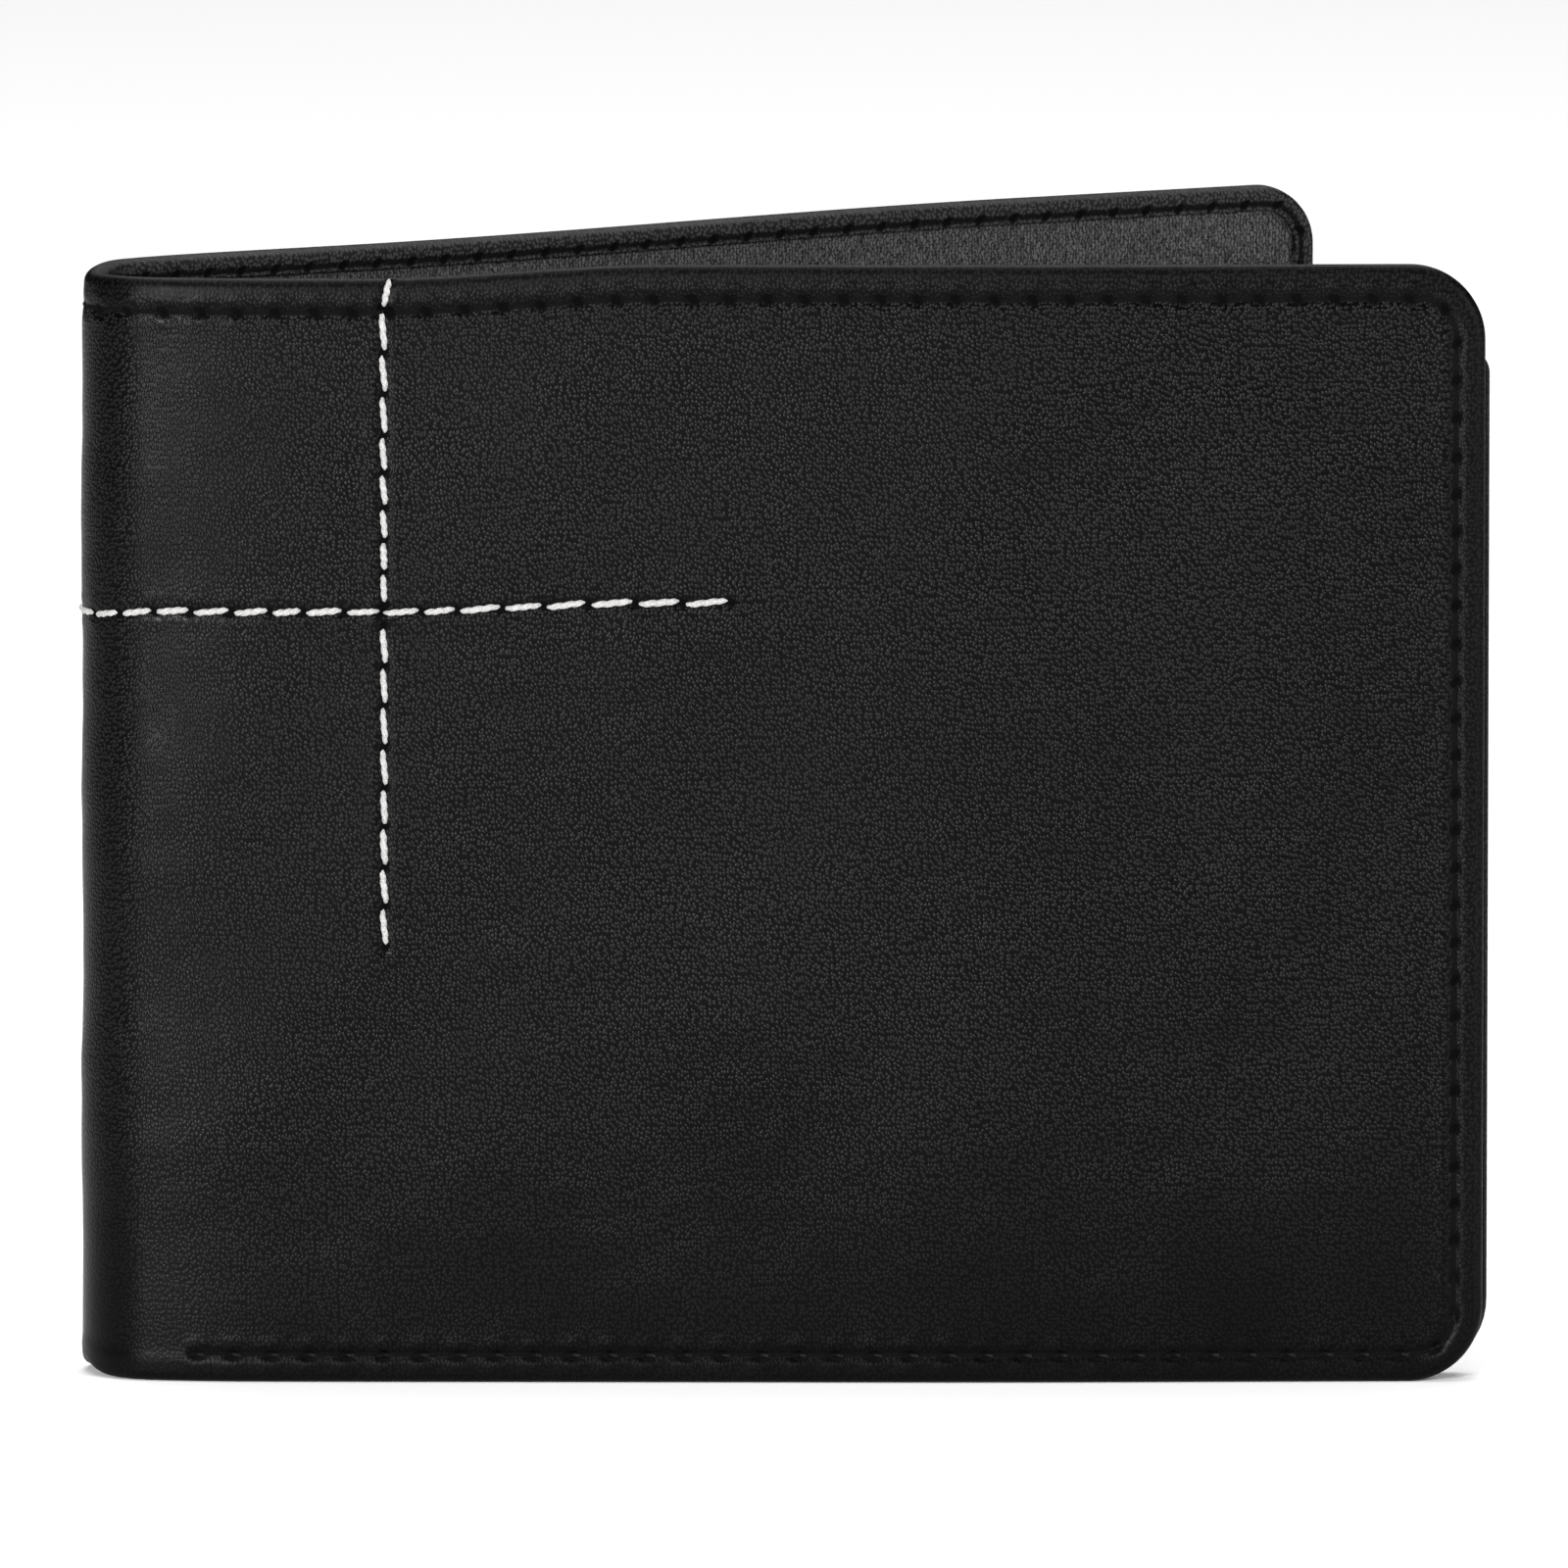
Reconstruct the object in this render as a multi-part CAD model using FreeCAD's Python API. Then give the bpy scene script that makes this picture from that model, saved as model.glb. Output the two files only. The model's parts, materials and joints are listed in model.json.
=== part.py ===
"""Bifold leather wallet standing on its bottom edge, part open, as separate sewn pieces.

Each half is a stack of thin layers: a leather cover with turned-in edges, a stiffener board, a lining, a
bill divider, the inner wall of the bill compartment, a slip pocket and three stepped card pockets (the back
half has a clear ID window as its third). The spine between the halves is cut into links so that it can fold.

Row frame: +X from the spine to the open end of the front half, +Y away from the front cover's outer face,
+Z up. Origin: centre of the whole wallet's box, on its underside. Millimetres.
"""
import FreeCAD, Part
import math
import os

# --- driving dimensions -------------------------------------------------------------------------------
CLOSED_WIDTH = 115.0        # from the spine to the open end of the pockets
COVER_HEIGHT = 92.0
REST_OPENING = 26.0         # angle between the two halves as the wallet stands
FOLD_LINES = 4              # hinge lines in the spine, one more than its links
LINK_WIDTH = 5.4            # spine leather between two hinge lines
FOLD_CLEARANCE = 0.15       # each layer stops this far short of its hinge line

# Layers, as depths inward from the cover's outer face.
LEATHER = 1.1
STIFFENER = 0.5
LINING = 0.25
HEM = 0.6                   # turned-in edge of the cover, over the lining
DIVIDER = 0.2
INNER_WALL_HEM = 0.4
INNER_WALL = 0.6
SLIP_POCKET = 0.6
CARD_POCKET = 0.5
POCKET_GAP = 0.1            # slack inside an empty pocket
WINDOW_FILM = 0.15
SPINE_GAP = 0.2             # between the divider and its neighbours in the spine

# Edges and seams.
HEM_WIDTH = 2.0
EDGE_WALL = 0.9             # leather that turns round the edge
SEAM_BORDER = 3.0           # width that a pocket's sewn edge takes
POCKET_OVERHANG = 0.4       # the pockets stand this far past the cover at the open end
POCKET_LIFT = 0.3           # and this far above its bottom edge
FRONT_CORNER = 6.2
BACK_CORNER = 5.0
POCKET_TOP_CORNER = 2.0
SPINE_LIFT = (0.8, 1.6, 0.8)   # how far folding draws each link's bottom edge up
SPINE_DROP = (0.5, 0.9, 0.5)   # and its top edge down

# Pocket layout: heights of the top edges, and the places where each layer starts beyond its hinge line.
DIVIDER_TOP = 83.5
INNER_WALL_TOP = 84.8
SLIP_POCKET_TOP = 82.0
CARD_POCKET_TOPS = (73.0, 61.0, 49.0)
CARD_REACH = 45.5           # how deep a card goes; it is 54 high, so its edge shows
SLIP_POCKET_START = 7.0
CARD_POCKET_START = 10.0
WINDOW_MARGIN = 6.5         # frame leather round the ID window
WINDOW_CORNER = 3.0
FILM_OVERLAP = 2.5          # film hidden behind the frame on each side

# Thread.
STITCH_PITCH = 3.07
STITCH_LENGTH = 2.4
STITCH_WIDTH = 0.55
STITCH_HEIGHT = 0.22
TOP_SEAM = 2.6              # seam lines, in from the edge
SIDE_SEAM = 2.3
HEM_SEAM = 1.45                # the seam inside, which holds the hem to the lining
POCKET_SEAM = 1.5
SEAM_END = 0.5              # bare length at the end of a seam
BOTTOM_SEAM_START = 4.0     # the bottom seam stops short of the spine
SPINE_STITCH_LENGTH = 2.1
WHITE_PITCH = 3.35
WHITE_LENGTH = 2.75
WHITE_WIDTH = 0.65
WHITE_HEIGHT = 0.3
WHITE_COLUMN = 19.6         # the upright white line, beyond the front hinge line
WHITE_COLUMN_FOOT = 36.4
WHITE_ROW = 64.0            # height of the level white line
WHITE_ROW_END = 47.6
WHITE_ROW_BACK_END = 21.0

# --- worked out ---------------------------------------------------------------------------------------
BEND = (180.0 - REST_OPENING) / FOLD_LINES      # turn at each hinge line at rest
CLOSED_BEND = 180.0 / FOLD_LINES                # and with the wallet shut
MITRE = math.tan(math.radians(CLOSED_BEND / 2))
SPINE_LINKS = FOLD_LINES - 1

LINING_AT = LEATHER + STIFFENER
HEM_AT = LINING_AT + LINING
DIVIDER_AT = HEM_AT + HEM
INNER_WALL_AT = DIVIDER_AT + DIVIDER
SLIP_POCKET_AT = INNER_WALL_AT + INNER_WALL_HEM + INNER_WALL
CARD_POCKET_AT = SLIP_POCKET_AT + SLIP_POCKET
SPINE_LINING_AT = LEATHER
SPINE_HEM_AT = SPINE_LINING_AT + LINING
SPINE_DIVIDER_AT = SPINE_HEM_AT + SPINE_GAP
SPINE_INNER_WALL_AT = SPINE_DIVIDER_AT + DIVIDER + SPINE_GAP

SPINE_REACH = LINK_WIDTH * sum(math.cos(math.radians(BEND * k)) for k in range(1, FOLD_LINES // 2 + 1))
PANEL_LENGTH = CLOSED_WIDTH - SPINE_REACH - POCKET_OVERHANG
POCKET_END = PANEL_LENGTH + POCKET_OVERHANG


class Frame:
    """A flat stretch of the wallet: s runs along it, depth inward from its outer face, z up."""

    def __init__(self, x, y, along_degrees, inward_degrees):
        self.x, self.y = x, y
        self.along = (math.cos(math.radians(along_degrees)), math.sin(math.radians(along_degrees)))
        self.inward = (math.cos(math.radians(inward_degrees)), math.sin(math.radians(inward_degrees)))

    def at(self, s, depth, z):
        return FreeCAD.Vector(self.x + s * self.along[0] + depth * self.inward[0],
                              self.y + s * self.along[1] + depth * self.inward[1], z)

    def step(self, s, depth):
        return self.at(s, depth, 0) - self.at(0, 0, 0)


def frames():
    """The front half, the spine's links and the back half, with the front hinge line at x = 0, y = 0."""
    front = Frame(0, 0, 0, 90)
    links, corner = [], FreeCAD.Vector(0, 0, 0)
    for k in range(1, FOLD_LINES):
        link = Frame(corner.x, corner.y, 180 - BEND * k, 90 - BEND * k)
        links.append(link)
        corner = link.at(LINK_WIDTH, 0, 0)
    turned = BEND * FOLD_LINES
    back = Frame(corner.x, corner.y, 180 - turned, 90 - turned)
    return front, links, back


FRONT, LINKS, BACK = frames()


# --- building blocks ----------------------------------------------------------------------------------
def mitre(depth):
    """Where a layer at this depth has to stop, so that it clears its neighbour with the wallet shut."""
    return FOLD_CLEARANCE + depth * MITRE


def outline(frame, s0, s1, z0, z1, depth, low, high):
    """Face in the plane of the layer, with its two corners at s1 rounded by the radii low and high."""
    def corner(z, radius, sign):
        inset = radius * (1 - math.sqrt(0.5))
        points = [(s1 - radius, z), (s1 - inset, z + sign * inset), (s1, z + sign * radius)]
        if sign < 0:
            points.reverse()
        return [frame.at(s, depth, height) for s, height in points]

    bottom = corner(z0, low, 1)
    top = corner(z1, high, -1)
    start_low = frame.at(s0, depth, z0)
    start_high = frame.at(s0, depth, z1)
    edges = [Part.LineSegment(start_low, bottom[0]), Part.Arc(*bottom), Part.LineSegment(bottom[2], top[0]),
             Part.Arc(*top), Part.LineSegment(top[2], start_high), Part.LineSegment(start_high, start_low)]
    return Part.Face(Part.Wire([edge.toShape() for edge in edges]))


def rounded_slab(frame, s0, s1, z0, z1, d0, d1, low, high):
    return outline(frame, s0, s1, z0, z1, d0, low, high).extrude(frame.step(0, d1 - d0))


def slab(frame, s0, s1, z0, z1, d0, d1):
    """Plain box in a frame's own directions."""
    corners = [frame.at(s0, d0, z0), frame.at(s1, d0, z0), frame.at(s1, d1, z0), frame.at(s0, d1, z0)]
    return Part.Face(Part.makePolygon(corners + corners[:1])).extrude(FreeCAD.Vector(0, 0, z1 - z0))


def mitred_prism(frame, length, z0, z1, d0, d1, both_ends):
    """Layer whose ends slope away from its hinge lines."""
    def far(depth):
        return length - mitre(depth) if both_ends else length

    corners = [frame.at(mitre(d0), d0, z0), frame.at(far(d0), d0, z0),
               frame.at(far(d1), d1, z0), frame.at(mitre(d1), d1, z0)]
    return Part.Face(Part.makePolygon(corners + corners[:1])).extrude(FreeCAD.Vector(0, 0, z1 - z0))


def panel_layer(frame, length, z0, z1, d0, d1, low=1.0, high=1.0):
    """Flat layer of a half: mitred at the spine, rounded at the open end."""
    prism = mitred_prism(frame, length, z0, z1, d0, d1, both_ends=False)
    return prism.common(rounded_slab(frame, 0, length, z0, z1, d0, d1, low, high))


def link_layer(index, d0, d1, z0, z1):
    return mitred_prism(LINKS[index], LINK_WIDTH, z0, z1, d0, d1, both_ends=True)


def save(name, *solids):
    shape = solids[0].removeSplitter() if len(solids) == 1 else Part.makeCompound(list(solids))
    shape.translate(ORIGIN_SHIFT)
    shape.exportStep(f"parts/{name}.step")
    print(f"{name}: {len(shape.Solids)} solids, {shape.Volume:.1f} mm3, valid {shape.isValid()}")
    BOXES.append(shape.BoundBox)


# --- cover --------------------------------------------------------------------------------------------
def cover(frame, radius):
    """Outer leather of one half, turned in over the lining on its three free edges."""
    full = panel_layer(frame, PANEL_LENGTH, 0, COVER_HEIGHT, 0, DIVIDER_AT, radius, radius)
    hollow = rounded_slab(frame, -5, PANEL_LENGTH - EDGE_WALL, EDGE_WALL, COVER_HEIGHT - EDGE_WALL,
                          LEATHER, HEM_AT, radius - EDGE_WALL, radius - EDGE_WALL)
    mouth = rounded_slab(frame, -5, PANEL_LENGTH - HEM_WIDTH, HEM_WIDTH, COVER_HEIGHT - HEM_WIDTH,
                         HEM_AT, DIVIDER_AT, radius - HEM_WIDTH, radius - HEM_WIDTH)
    return full.cut(hollow).cut(mouth)


def inlay(frame, d0, d1, radius):
    """Board or lining held under the cover's turned-in edges."""
    corner = radius - EDGE_WALL
    return panel_layer(frame, PANEL_LENGTH - EDGE_WALL, EDGE_WALL, COVER_HEIGHT - EDGE_WALL, d0, d1,
                       corner, corner)


def spine_cover(index):
    """One link of the spine leather, turned in at its top and bottom.

    It is made of convex strips, so that collision leaves the bill compartment open along the spine.
    """
    bottom, top = SPINE_LIFT[index], COVER_HEIGHT - SPINE_DROP[index]
    strips = [link_layer(index, 0, LEATHER, bottom, top)]
    for d0, d1, width in ((LEATHER, SPINE_HEM_AT, EDGE_WALL), (SPINE_HEM_AT, SPINE_HEM_AT + HEM, HEM_WIDTH)):
        strips += [link_layer(index, d0, d1, bottom, bottom + width),
                   link_layer(index, d0, d1, top - width, top)]
    return strips


def spine_lining(index):
    bottom, top = SPINE_LIFT[index] + EDGE_WALL, COVER_HEIGHT - SPINE_DROP[index] - EDGE_WALL
    return link_layer(index, SPINE_LINING_AT, SPINE_HEM_AT, bottom, top)


# --- bill compartment ---------------------------------------------------------------------------------
def bill_divider(frame, radius):
    return panel_layer(frame, PANEL_LENGTH, POCKET_LIFT, DIVIDER_TOP, DIVIDER_AT, INNER_WALL_AT, radius)


def inner_wall(frame, radius):
    """Wall that carries the pockets, with a turned-in border where it is sewn to the cover."""
    full = panel_layer(frame, POCKET_END, POCKET_LIFT, INNER_WALL_TOP, INNER_WALL_AT, SLIP_POCKET_AT,
                       radius, POCKET_TOP_CORNER)
    slack = rounded_slab(frame, -5, POCKET_END - SEAM_BORDER, POCKET_LIFT + SEAM_BORDER, INNER_WALL_TOP + 1,
                         INNER_WALL_AT, INNER_WALL_AT + INNER_WALL_HEM, radius - SEAM_BORDER, 0.5)
    return full.cut(slack)


# --- pockets ------------------------------------------------------------------------------------------
def leaf(frame, start, top, base, thickness, radius):
    return rounded_slab(frame, start, POCKET_END, POCKET_LIFT, top, base, base + thickness,
                        radius, POCKET_TOP_CORNER)


def slip_pocket(frame, radius):
    """Leaf sewn on three sides, with its mouth towards the spine and a little slack behind it."""
    slack = rounded_slab(frame, SLIP_POCKET_START - 1, POCKET_END - SEAM_BORDER, POCKET_LIFT + SEAM_BORDER,
                         SLIP_POCKET_TOP - SEAM_BORDER, SLIP_POCKET_AT, SLIP_POCKET_AT + POCKET_GAP,
                         radius - SEAM_BORDER, 0.5)
    return leaf(frame, SLIP_POCKET_START, SLIP_POCKET_TOP, SLIP_POCKET_AT, SLIP_POCKET, radius).cut(slack)


def card_pocket(frame, number, radius, thickness=CARD_POCKET):
    """Leaf with its mouth at the top, sewn across where the card stops."""
    base = CARD_POCKET_AT + number * CARD_POCKET
    top = CARD_POCKET_TOPS[number]
    slack = slab(frame, CARD_POCKET_START + SEAM_BORDER, POCKET_END - SEAM_BORDER, top - CARD_REACH, top + 1,
                 base, base + POCKET_GAP)
    return leaf(frame, CARD_POCKET_START, top, base, thickness, radius).cut(slack)


def window_rectangle(grow):
    """s and z limits of the ID window, let out by grow on every side."""
    return (CARD_POCKET_START + WINDOW_MARGIN - grow, POCKET_END - WINDOW_MARGIN + grow,
            POCKET_LIFT + WINDOW_MARGIN - grow, CARD_POCKET_TOPS[2] - WINDOW_MARGIN + grow)


def window_film(frame):
    s0, s1, z0, z1 = window_rectangle(FILM_OVERLAP)
    base = CARD_POCKET_AT + 2 * CARD_POCKET + POCKET_GAP
    return slab(frame, s0, s1, z0, z1, base, base + WINDOW_FILM)


def window_frame(frame, radius):
    """Leather frame sewn like a card pocket, with the window cut through it and a recess for the film."""
    base = CARD_POCKET_AT + 2 * CARD_POCKET
    pocket = card_pocket(frame, 2, radius, CARD_POCKET + WINDOW_FILM)
    s0, s1, z0, z1 = window_rectangle(FILM_OVERLAP)
    recess = slab(frame, s0, s1, z0, z1, base, base + POCKET_GAP + WINDOW_FILM)
    s0, s1, z0, z1 = window_rectangle(0)
    depth = 2
    opening = slab(frame, s0, s1, z0, z1, base, base + depth)
    sides = [edge for edge in opening.Edges if abs(edge.Length - depth) < 1e-6]
    return pocket.cut(recess).cut(opening.makeFillet(WINDOW_CORNER, sides))


# --- thread -------------------------------------------------------------------------------------------
def stitch(frame, s, z, depth, upright, outward,
           length=STITCH_LENGTH, width=STITCH_WIDTH, height=STITCH_HEIGHT):
    """One visible stitch centred at s, z: a bevelled bar that lies on the surface at depth."""
    rise = -height if outward else height
    section = [(-width / 2, 0), (-width / 3, rise), (width / 3, rise), (width / 2, 0)]
    if upright:
        points = [frame.at(s + across, depth + up, z - length / 2) for across, up in section]
        travel = FreeCAD.Vector(0, 0, length)
    else:
        points = [frame.at(s - length / 2, depth + up, z + across) for across, up in section]
        travel = frame.step(length, 0)
    return Part.Face(Part.makePolygon(points + points[:1])).extrude(travel)


def places(start, end, pitch):
    """Centres of stitches at an even pitch close to the one asked for."""
    count = max(1, round((end - start) / pitch))
    return [start + (end - start) * (k + 0.5) / count for k in range(count)]


def row(frame, start, end, z, depth, outward):
    return [stitch(frame, s, z, depth, False, outward) for s in places(start, end, STITCH_PITCH)]


def column(frame, s, start, end, depth, outward):
    return [stitch(frame, s, z, depth, True, outward) for z in places(start, end, STITCH_PITCH)]


def outer_edge_stitching(frame):
    """Seam round the free edges of a cover, on its outer face."""
    side = PANEL_LENGTH - SIDE_SEAM
    top = COVER_HEIGHT - TOP_SEAM
    return (row(frame, SEAM_END, side - SEAM_END, top, 0, True)
            + column(frame, side, SIDE_SEAM + SEAM_END, top - SEAM_END, 0, True)
            + row(frame, BOTTOM_SEAM_START, side - SEAM_END, SIDE_SEAM, 0, True))


def hem_stitching(frame):
    """Seam inside, along the top hem of the bill compartment."""
    start = mitre(DIVIDER_AT) + SEAM_END
    return row(frame, start, PANEL_LENGTH - HEM_SEAM - SEAM_END, COVER_HEIGHT - HEM_SEAM, DIVIDER_AT, False)


def pocket_stitching(frame, lowest_leaf):
    """Seams on the pocket side, round the card pockets and along the slip pocket's top."""
    side = POCKET_END - SIDE_SEAM
    inner_side = CARD_POCKET_START + POCKET_SEAM
    foot = POCKET_LIFT + POCKET_SEAM
    bands = [foot + POCKET_SEAM, *reversed(CARD_POCKET_TOPS), SLIP_POCKET_TOP]
    faces = [CARD_POCKET_AT + 2 * CARD_POCKET + lowest_leaf, CARD_POCKET_AT + 2 * CARD_POCKET,
             CARD_POCKET_AT + CARD_POCKET, CARD_POCKET_AT]
    solids = []
    for low, high, face in zip(bands, bands[1:], faces):
        solids += column(frame, side, low + SEAM_END, high - SEAM_END, face, False)
        if face > CARD_POCKET_AT:
            solids += column(frame, inner_side, low + SEAM_END, high - SEAM_END, face, False)
    solids += row(frame, inner_side + POCKET_SEAM, side - SEAM_END, foot, faces[0], False)
    solids += row(frame, SLIP_POCKET_START + SEAM_END, side - POCKET_SEAM, SLIP_POCKET_TOP - POCKET_SEAM,
                  CARD_POCKET_AT, False)
    return solids


def white_stitch(frame, s, z, upright):
    return stitch(frame, s, z, 0, upright, True, WHITE_LENGTH, WHITE_WIDTH, WHITE_HEIGHT)


def white_column():
    """Upright decorative line, from the top edge down. It makes way for the level line and the edge seam."""
    heights = places(WHITE_COLUMN_FOOT, COVER_HEIGHT, WHITE_PITCH)
    level = (WHITE_LENGTH + WHITE_WIDTH) / 2
    seam = (WHITE_LENGTH + STITCH_WIDTH) / 2
    return [white_stitch(FRONT, WHITE_COLUMN, z, True) for z in heights
            if abs(z - WHITE_ROW) > level and abs(z - (COVER_HEIGHT - TOP_SEAM)) > seam]


def white_row(frame, end):
    return [white_stitch(frame, s, WHITE_ROW, False) for s in places(SEAM_END, end, WHITE_PITCH)]


def spine_row(index, z, width, height):
    """Outer stitches across one link of the spine."""
    pitch = SPINE_STITCH_LENGTH + SEAM_END / 2
    return [stitch(LINKS[index], s, z, 0, False, True, SPINE_STITCH_LENGTH, width, height)
            for s in places(SEAM_END / 2, LINK_WIDTH - SEAM_END / 2, pitch)]


def spine_edge_row(index):
    return spine_row(index, spine_seam(index), STITCH_WIDTH, STITCH_HEIGHT)


def spine_white_row(index):
    return spine_row(index, WHITE_ROW, WHITE_WIDTH, WHITE_HEIGHT)


def spine_seam(index):
    return COVER_HEIGHT - SPINE_DROP[index] - TOP_SEAM


# --- assembly -----------------------------------------------------------------------------------------
def save_half(side, frame, radius):
    save(f"{side}_cover", cover(frame, radius))
    save(f"{side}_stiffener", inlay(frame, LEATHER, LINING_AT, radius))
    save(f"{side}_lining", inlay(frame, LINING_AT, HEM_AT, radius))
    save(f"{side}_bill_divider", bill_divider(frame, radius))
    save(f"{side}_inner_wall", inner_wall(frame, radius))
    save(f"{side}_slip_pocket", slip_pocket(frame, radius))
    for number in (0, 1):
        save(f"{side}_card_pocket_{number + 1}", card_pocket(frame, number, radius))
    save(f"{side}_edge_stitching", *outer_edge_stitching(frame))
    save(f"{side}_hem_stitching", *hem_stitching(frame))


def save_link(index):
    number = index + 1
    bottom = SPINE_LIFT[index]
    save(f"spine_cover_{number}", *spine_cover(index))
    save(f"spine_lining_{number}", spine_lining(index))
    divider = link_layer(index, SPINE_DIVIDER_AT, SPINE_DIVIDER_AT + DIVIDER,
                         bottom + HEM_WIDTH + POCKET_LIFT, DIVIDER_TOP)
    save(f"spine_bill_divider_{number}", divider)
    wall = link_layer(index, SPINE_INNER_WALL_AT, SPINE_INNER_WALL_AT + INNER_WALL,
                      bottom + POCKET_LIFT, INNER_WALL_TOP - SPINE_DROP[index])
    save(f"spine_inner_wall_{number}", wall)
    inside = stitch(LINKS[index], LINK_WIDTH / 2, spine_seam(index), SPINE_HEM_AT + HEM, False, False,
                    SPINE_STITCH_LENGTH)
    save(f"spine_edge_stitching_{number}", *spine_edge_row(index), inside)
    save(f"spine_white_stitching_{number}", *spine_white_row(index))


def origin_shift():
    """Moves the centre of the underside of the whole wallet's box to the origin."""
    outermost = [cover(FRONT, FRONT_CORNER), inner_wall(FRONT, FRONT_CORNER), *white_column(),
                 cover(BACK, BACK_CORNER), *outer_edge_stitching(BACK)]
    for index in range(SPINE_LINKS):
        outermost += [*spine_cover(index), *spine_white_row(index)]
    box = Part.makeCompound(outermost).BoundBox
    return FreeCAD.Vector(-(box.XMin + box.XMax) / 2, -(box.YMin + box.YMax) / 2, -box.ZMin)


os.makedirs("parts", exist_ok=True)
ORIGIN_SHIFT = origin_shift()
BOXES = []

save_half("front", FRONT, FRONT_CORNER)
save("front_card_pocket_3", card_pocket(FRONT, 2, FRONT_CORNER))
save("front_pocket_stitching", *pocket_stitching(FRONT, CARD_POCKET))
save("white_stitching_column", *white_column())
save("white_stitching_row", *white_row(FRONT, WHITE_ROW_END))

for link_index in range(SPINE_LINKS):
    save_link(link_index)

save_half("back", BACK, BACK_CORNER)
save("id_window_film", window_film(BACK))
save("id_window_frame", window_frame(BACK, BACK_CORNER))
save("back_pocket_stitching", *pocket_stitching(BACK, CARD_POCKET + WINDOW_FILM))
save("white_stitching_back", *white_row(BACK, WHITE_ROW_BACK_END))

for link_index, frame in enumerate([*LINKS, BACK]):
    hinge = frame.at(0, 0, 0) + ORIGIN_SHIFT
    print(f"fold_{link_index + 1} at x {hinge.x:.4f}, y {hinge.y:.4f}, turned {BEND:.2f} degrees at rest")
low = [min(getattr(box, side) for box in BOXES) for side in ("XMin", "YMin", "ZMin")]
high = [max(getattr(box, side) for box in BOXES) for side in ("XMax", "YMax", "ZMax")]
print("whole wallet:", [round(value, 3) for value in low], "to", [round(value, 3) for value in high])
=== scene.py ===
"""Bifold leather wallet: its visible pieces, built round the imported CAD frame.

The layers are laid out flat first, as they would be cut. u runs along the outer leather: negative on the
front half, 0 at the middle of the fold, positive on the back half. z is up, and depth goes inward from the
outer face. place() then stands them up and bends them round the fold. Lengths are millimetres until place()
gives metres.
"""

import json
import math
from collections import namedtuple

import bpy
import numpy as np
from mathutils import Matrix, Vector
from mathutils.kdtree import KDTree


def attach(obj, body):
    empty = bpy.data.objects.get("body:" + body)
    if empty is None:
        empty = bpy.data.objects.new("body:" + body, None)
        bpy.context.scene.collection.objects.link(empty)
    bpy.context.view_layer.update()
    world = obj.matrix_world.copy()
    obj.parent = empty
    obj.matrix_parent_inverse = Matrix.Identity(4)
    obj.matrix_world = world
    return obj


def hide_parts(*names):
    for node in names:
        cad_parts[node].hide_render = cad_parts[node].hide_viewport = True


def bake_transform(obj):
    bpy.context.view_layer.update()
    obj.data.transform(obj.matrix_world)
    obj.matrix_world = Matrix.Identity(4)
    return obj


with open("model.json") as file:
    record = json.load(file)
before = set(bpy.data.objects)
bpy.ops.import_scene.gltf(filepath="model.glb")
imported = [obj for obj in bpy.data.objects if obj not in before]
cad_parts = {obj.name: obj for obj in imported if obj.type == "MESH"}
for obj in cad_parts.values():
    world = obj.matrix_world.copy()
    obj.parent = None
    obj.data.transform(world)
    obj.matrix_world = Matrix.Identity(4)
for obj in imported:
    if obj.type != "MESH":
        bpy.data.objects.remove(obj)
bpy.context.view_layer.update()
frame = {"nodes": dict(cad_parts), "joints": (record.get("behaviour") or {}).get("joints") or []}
MM = 0.001

# --- the frame's halves, hinge lines and layers ---
Half = namedtuple("Half", "name sign hinge along inward")
Reach = namedtuple("Reach", "start end outer inner low high")
JOINTS = {joint["name"]: joint for joint in frame["joints"]}
FOLD_LINES = 4


def hinge(number):
    return np.array(JOINTS[f"fold_{number}"]["pos_m"][:2]) / MM


BEND = math.radians(JOINTS["fold_1"]["range_deg"][1])  # turn at each hinge line, which opening takes out
OPENING = math.pi - FOLD_LINES * BEND  # angle between the halves
COS, SIN = math.cos(OPENING), math.sin(OPENING)
FRONT = Half("front", -1, hinge(1), np.array([1.0, 0.0]), np.array([0.0, 1.0]))
BACK = Half("back", 1, hinge(FOLD_LINES), np.array([COS, SIN]), np.array([SIN, -COS]))


def reach(node, half):
    """Limits of a CAD node in a half's own directions: beyond its hinge line, in depth and in height."""
    points = np.array([vertex.co for vertex in frame["nodes"][node].data.vertices]) / MM
    from_hinge = points[:, :2] - half.hinge
    s, depth, z = from_hinge @ half.along, from_hinge @ half.inward, points[:, 2]
    return Reach(s.min(), s.max(), depth.min(), depth.max(), z.min(), z.max())


COVER = reach("front_cover", FRONT)
LINING = reach("front_lining", FRONT)
DIVIDER = reach("front_bill_divider", FRONT)
WALL = reach("front_inner_wall", FRONT)
LEATHER = reach("front_stiffener", FRONT).outer
HEIGHT = COVER.high

# --- shape of the fold ---
PUFF_SLOPE = math.radians(10)  # slope at which each half's leather meets the fold
PUFF_LENGTH = 14.0  # from there it flattens out over this length
PUFF_POWER = 3.0
PUFF_DEPTH = math.tan(PUFF_SLOPE) * PUFF_LENGTH / PUFF_POWER
HALF_TURN = (math.pi - OPENING) / 2
MIDDLE = OPENING / 2
APEX = np.hypot(*(BACK.hinge - FRONT.hinge)) / 2 / math.sin(MIDDLE)  # hinge line to the halves' shared corner
CORNER = FRONT.hinge - APEX * FRONT.along
FOLD_RADIUS = (APEX * math.sin(MIDDLE) - PUFF_DEPTH * math.cos(MIDDLE)) / math.cos(MIDDLE + PUFF_SLOPE)
FOLD_HALF = FOLD_RADIUS * (HALF_TURN - PUFF_SLOPE)  # u of each hinge line
CENTRE_ALONG = APEX + FOLD_RADIUS * math.sin(PUFF_SLOPE)
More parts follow.
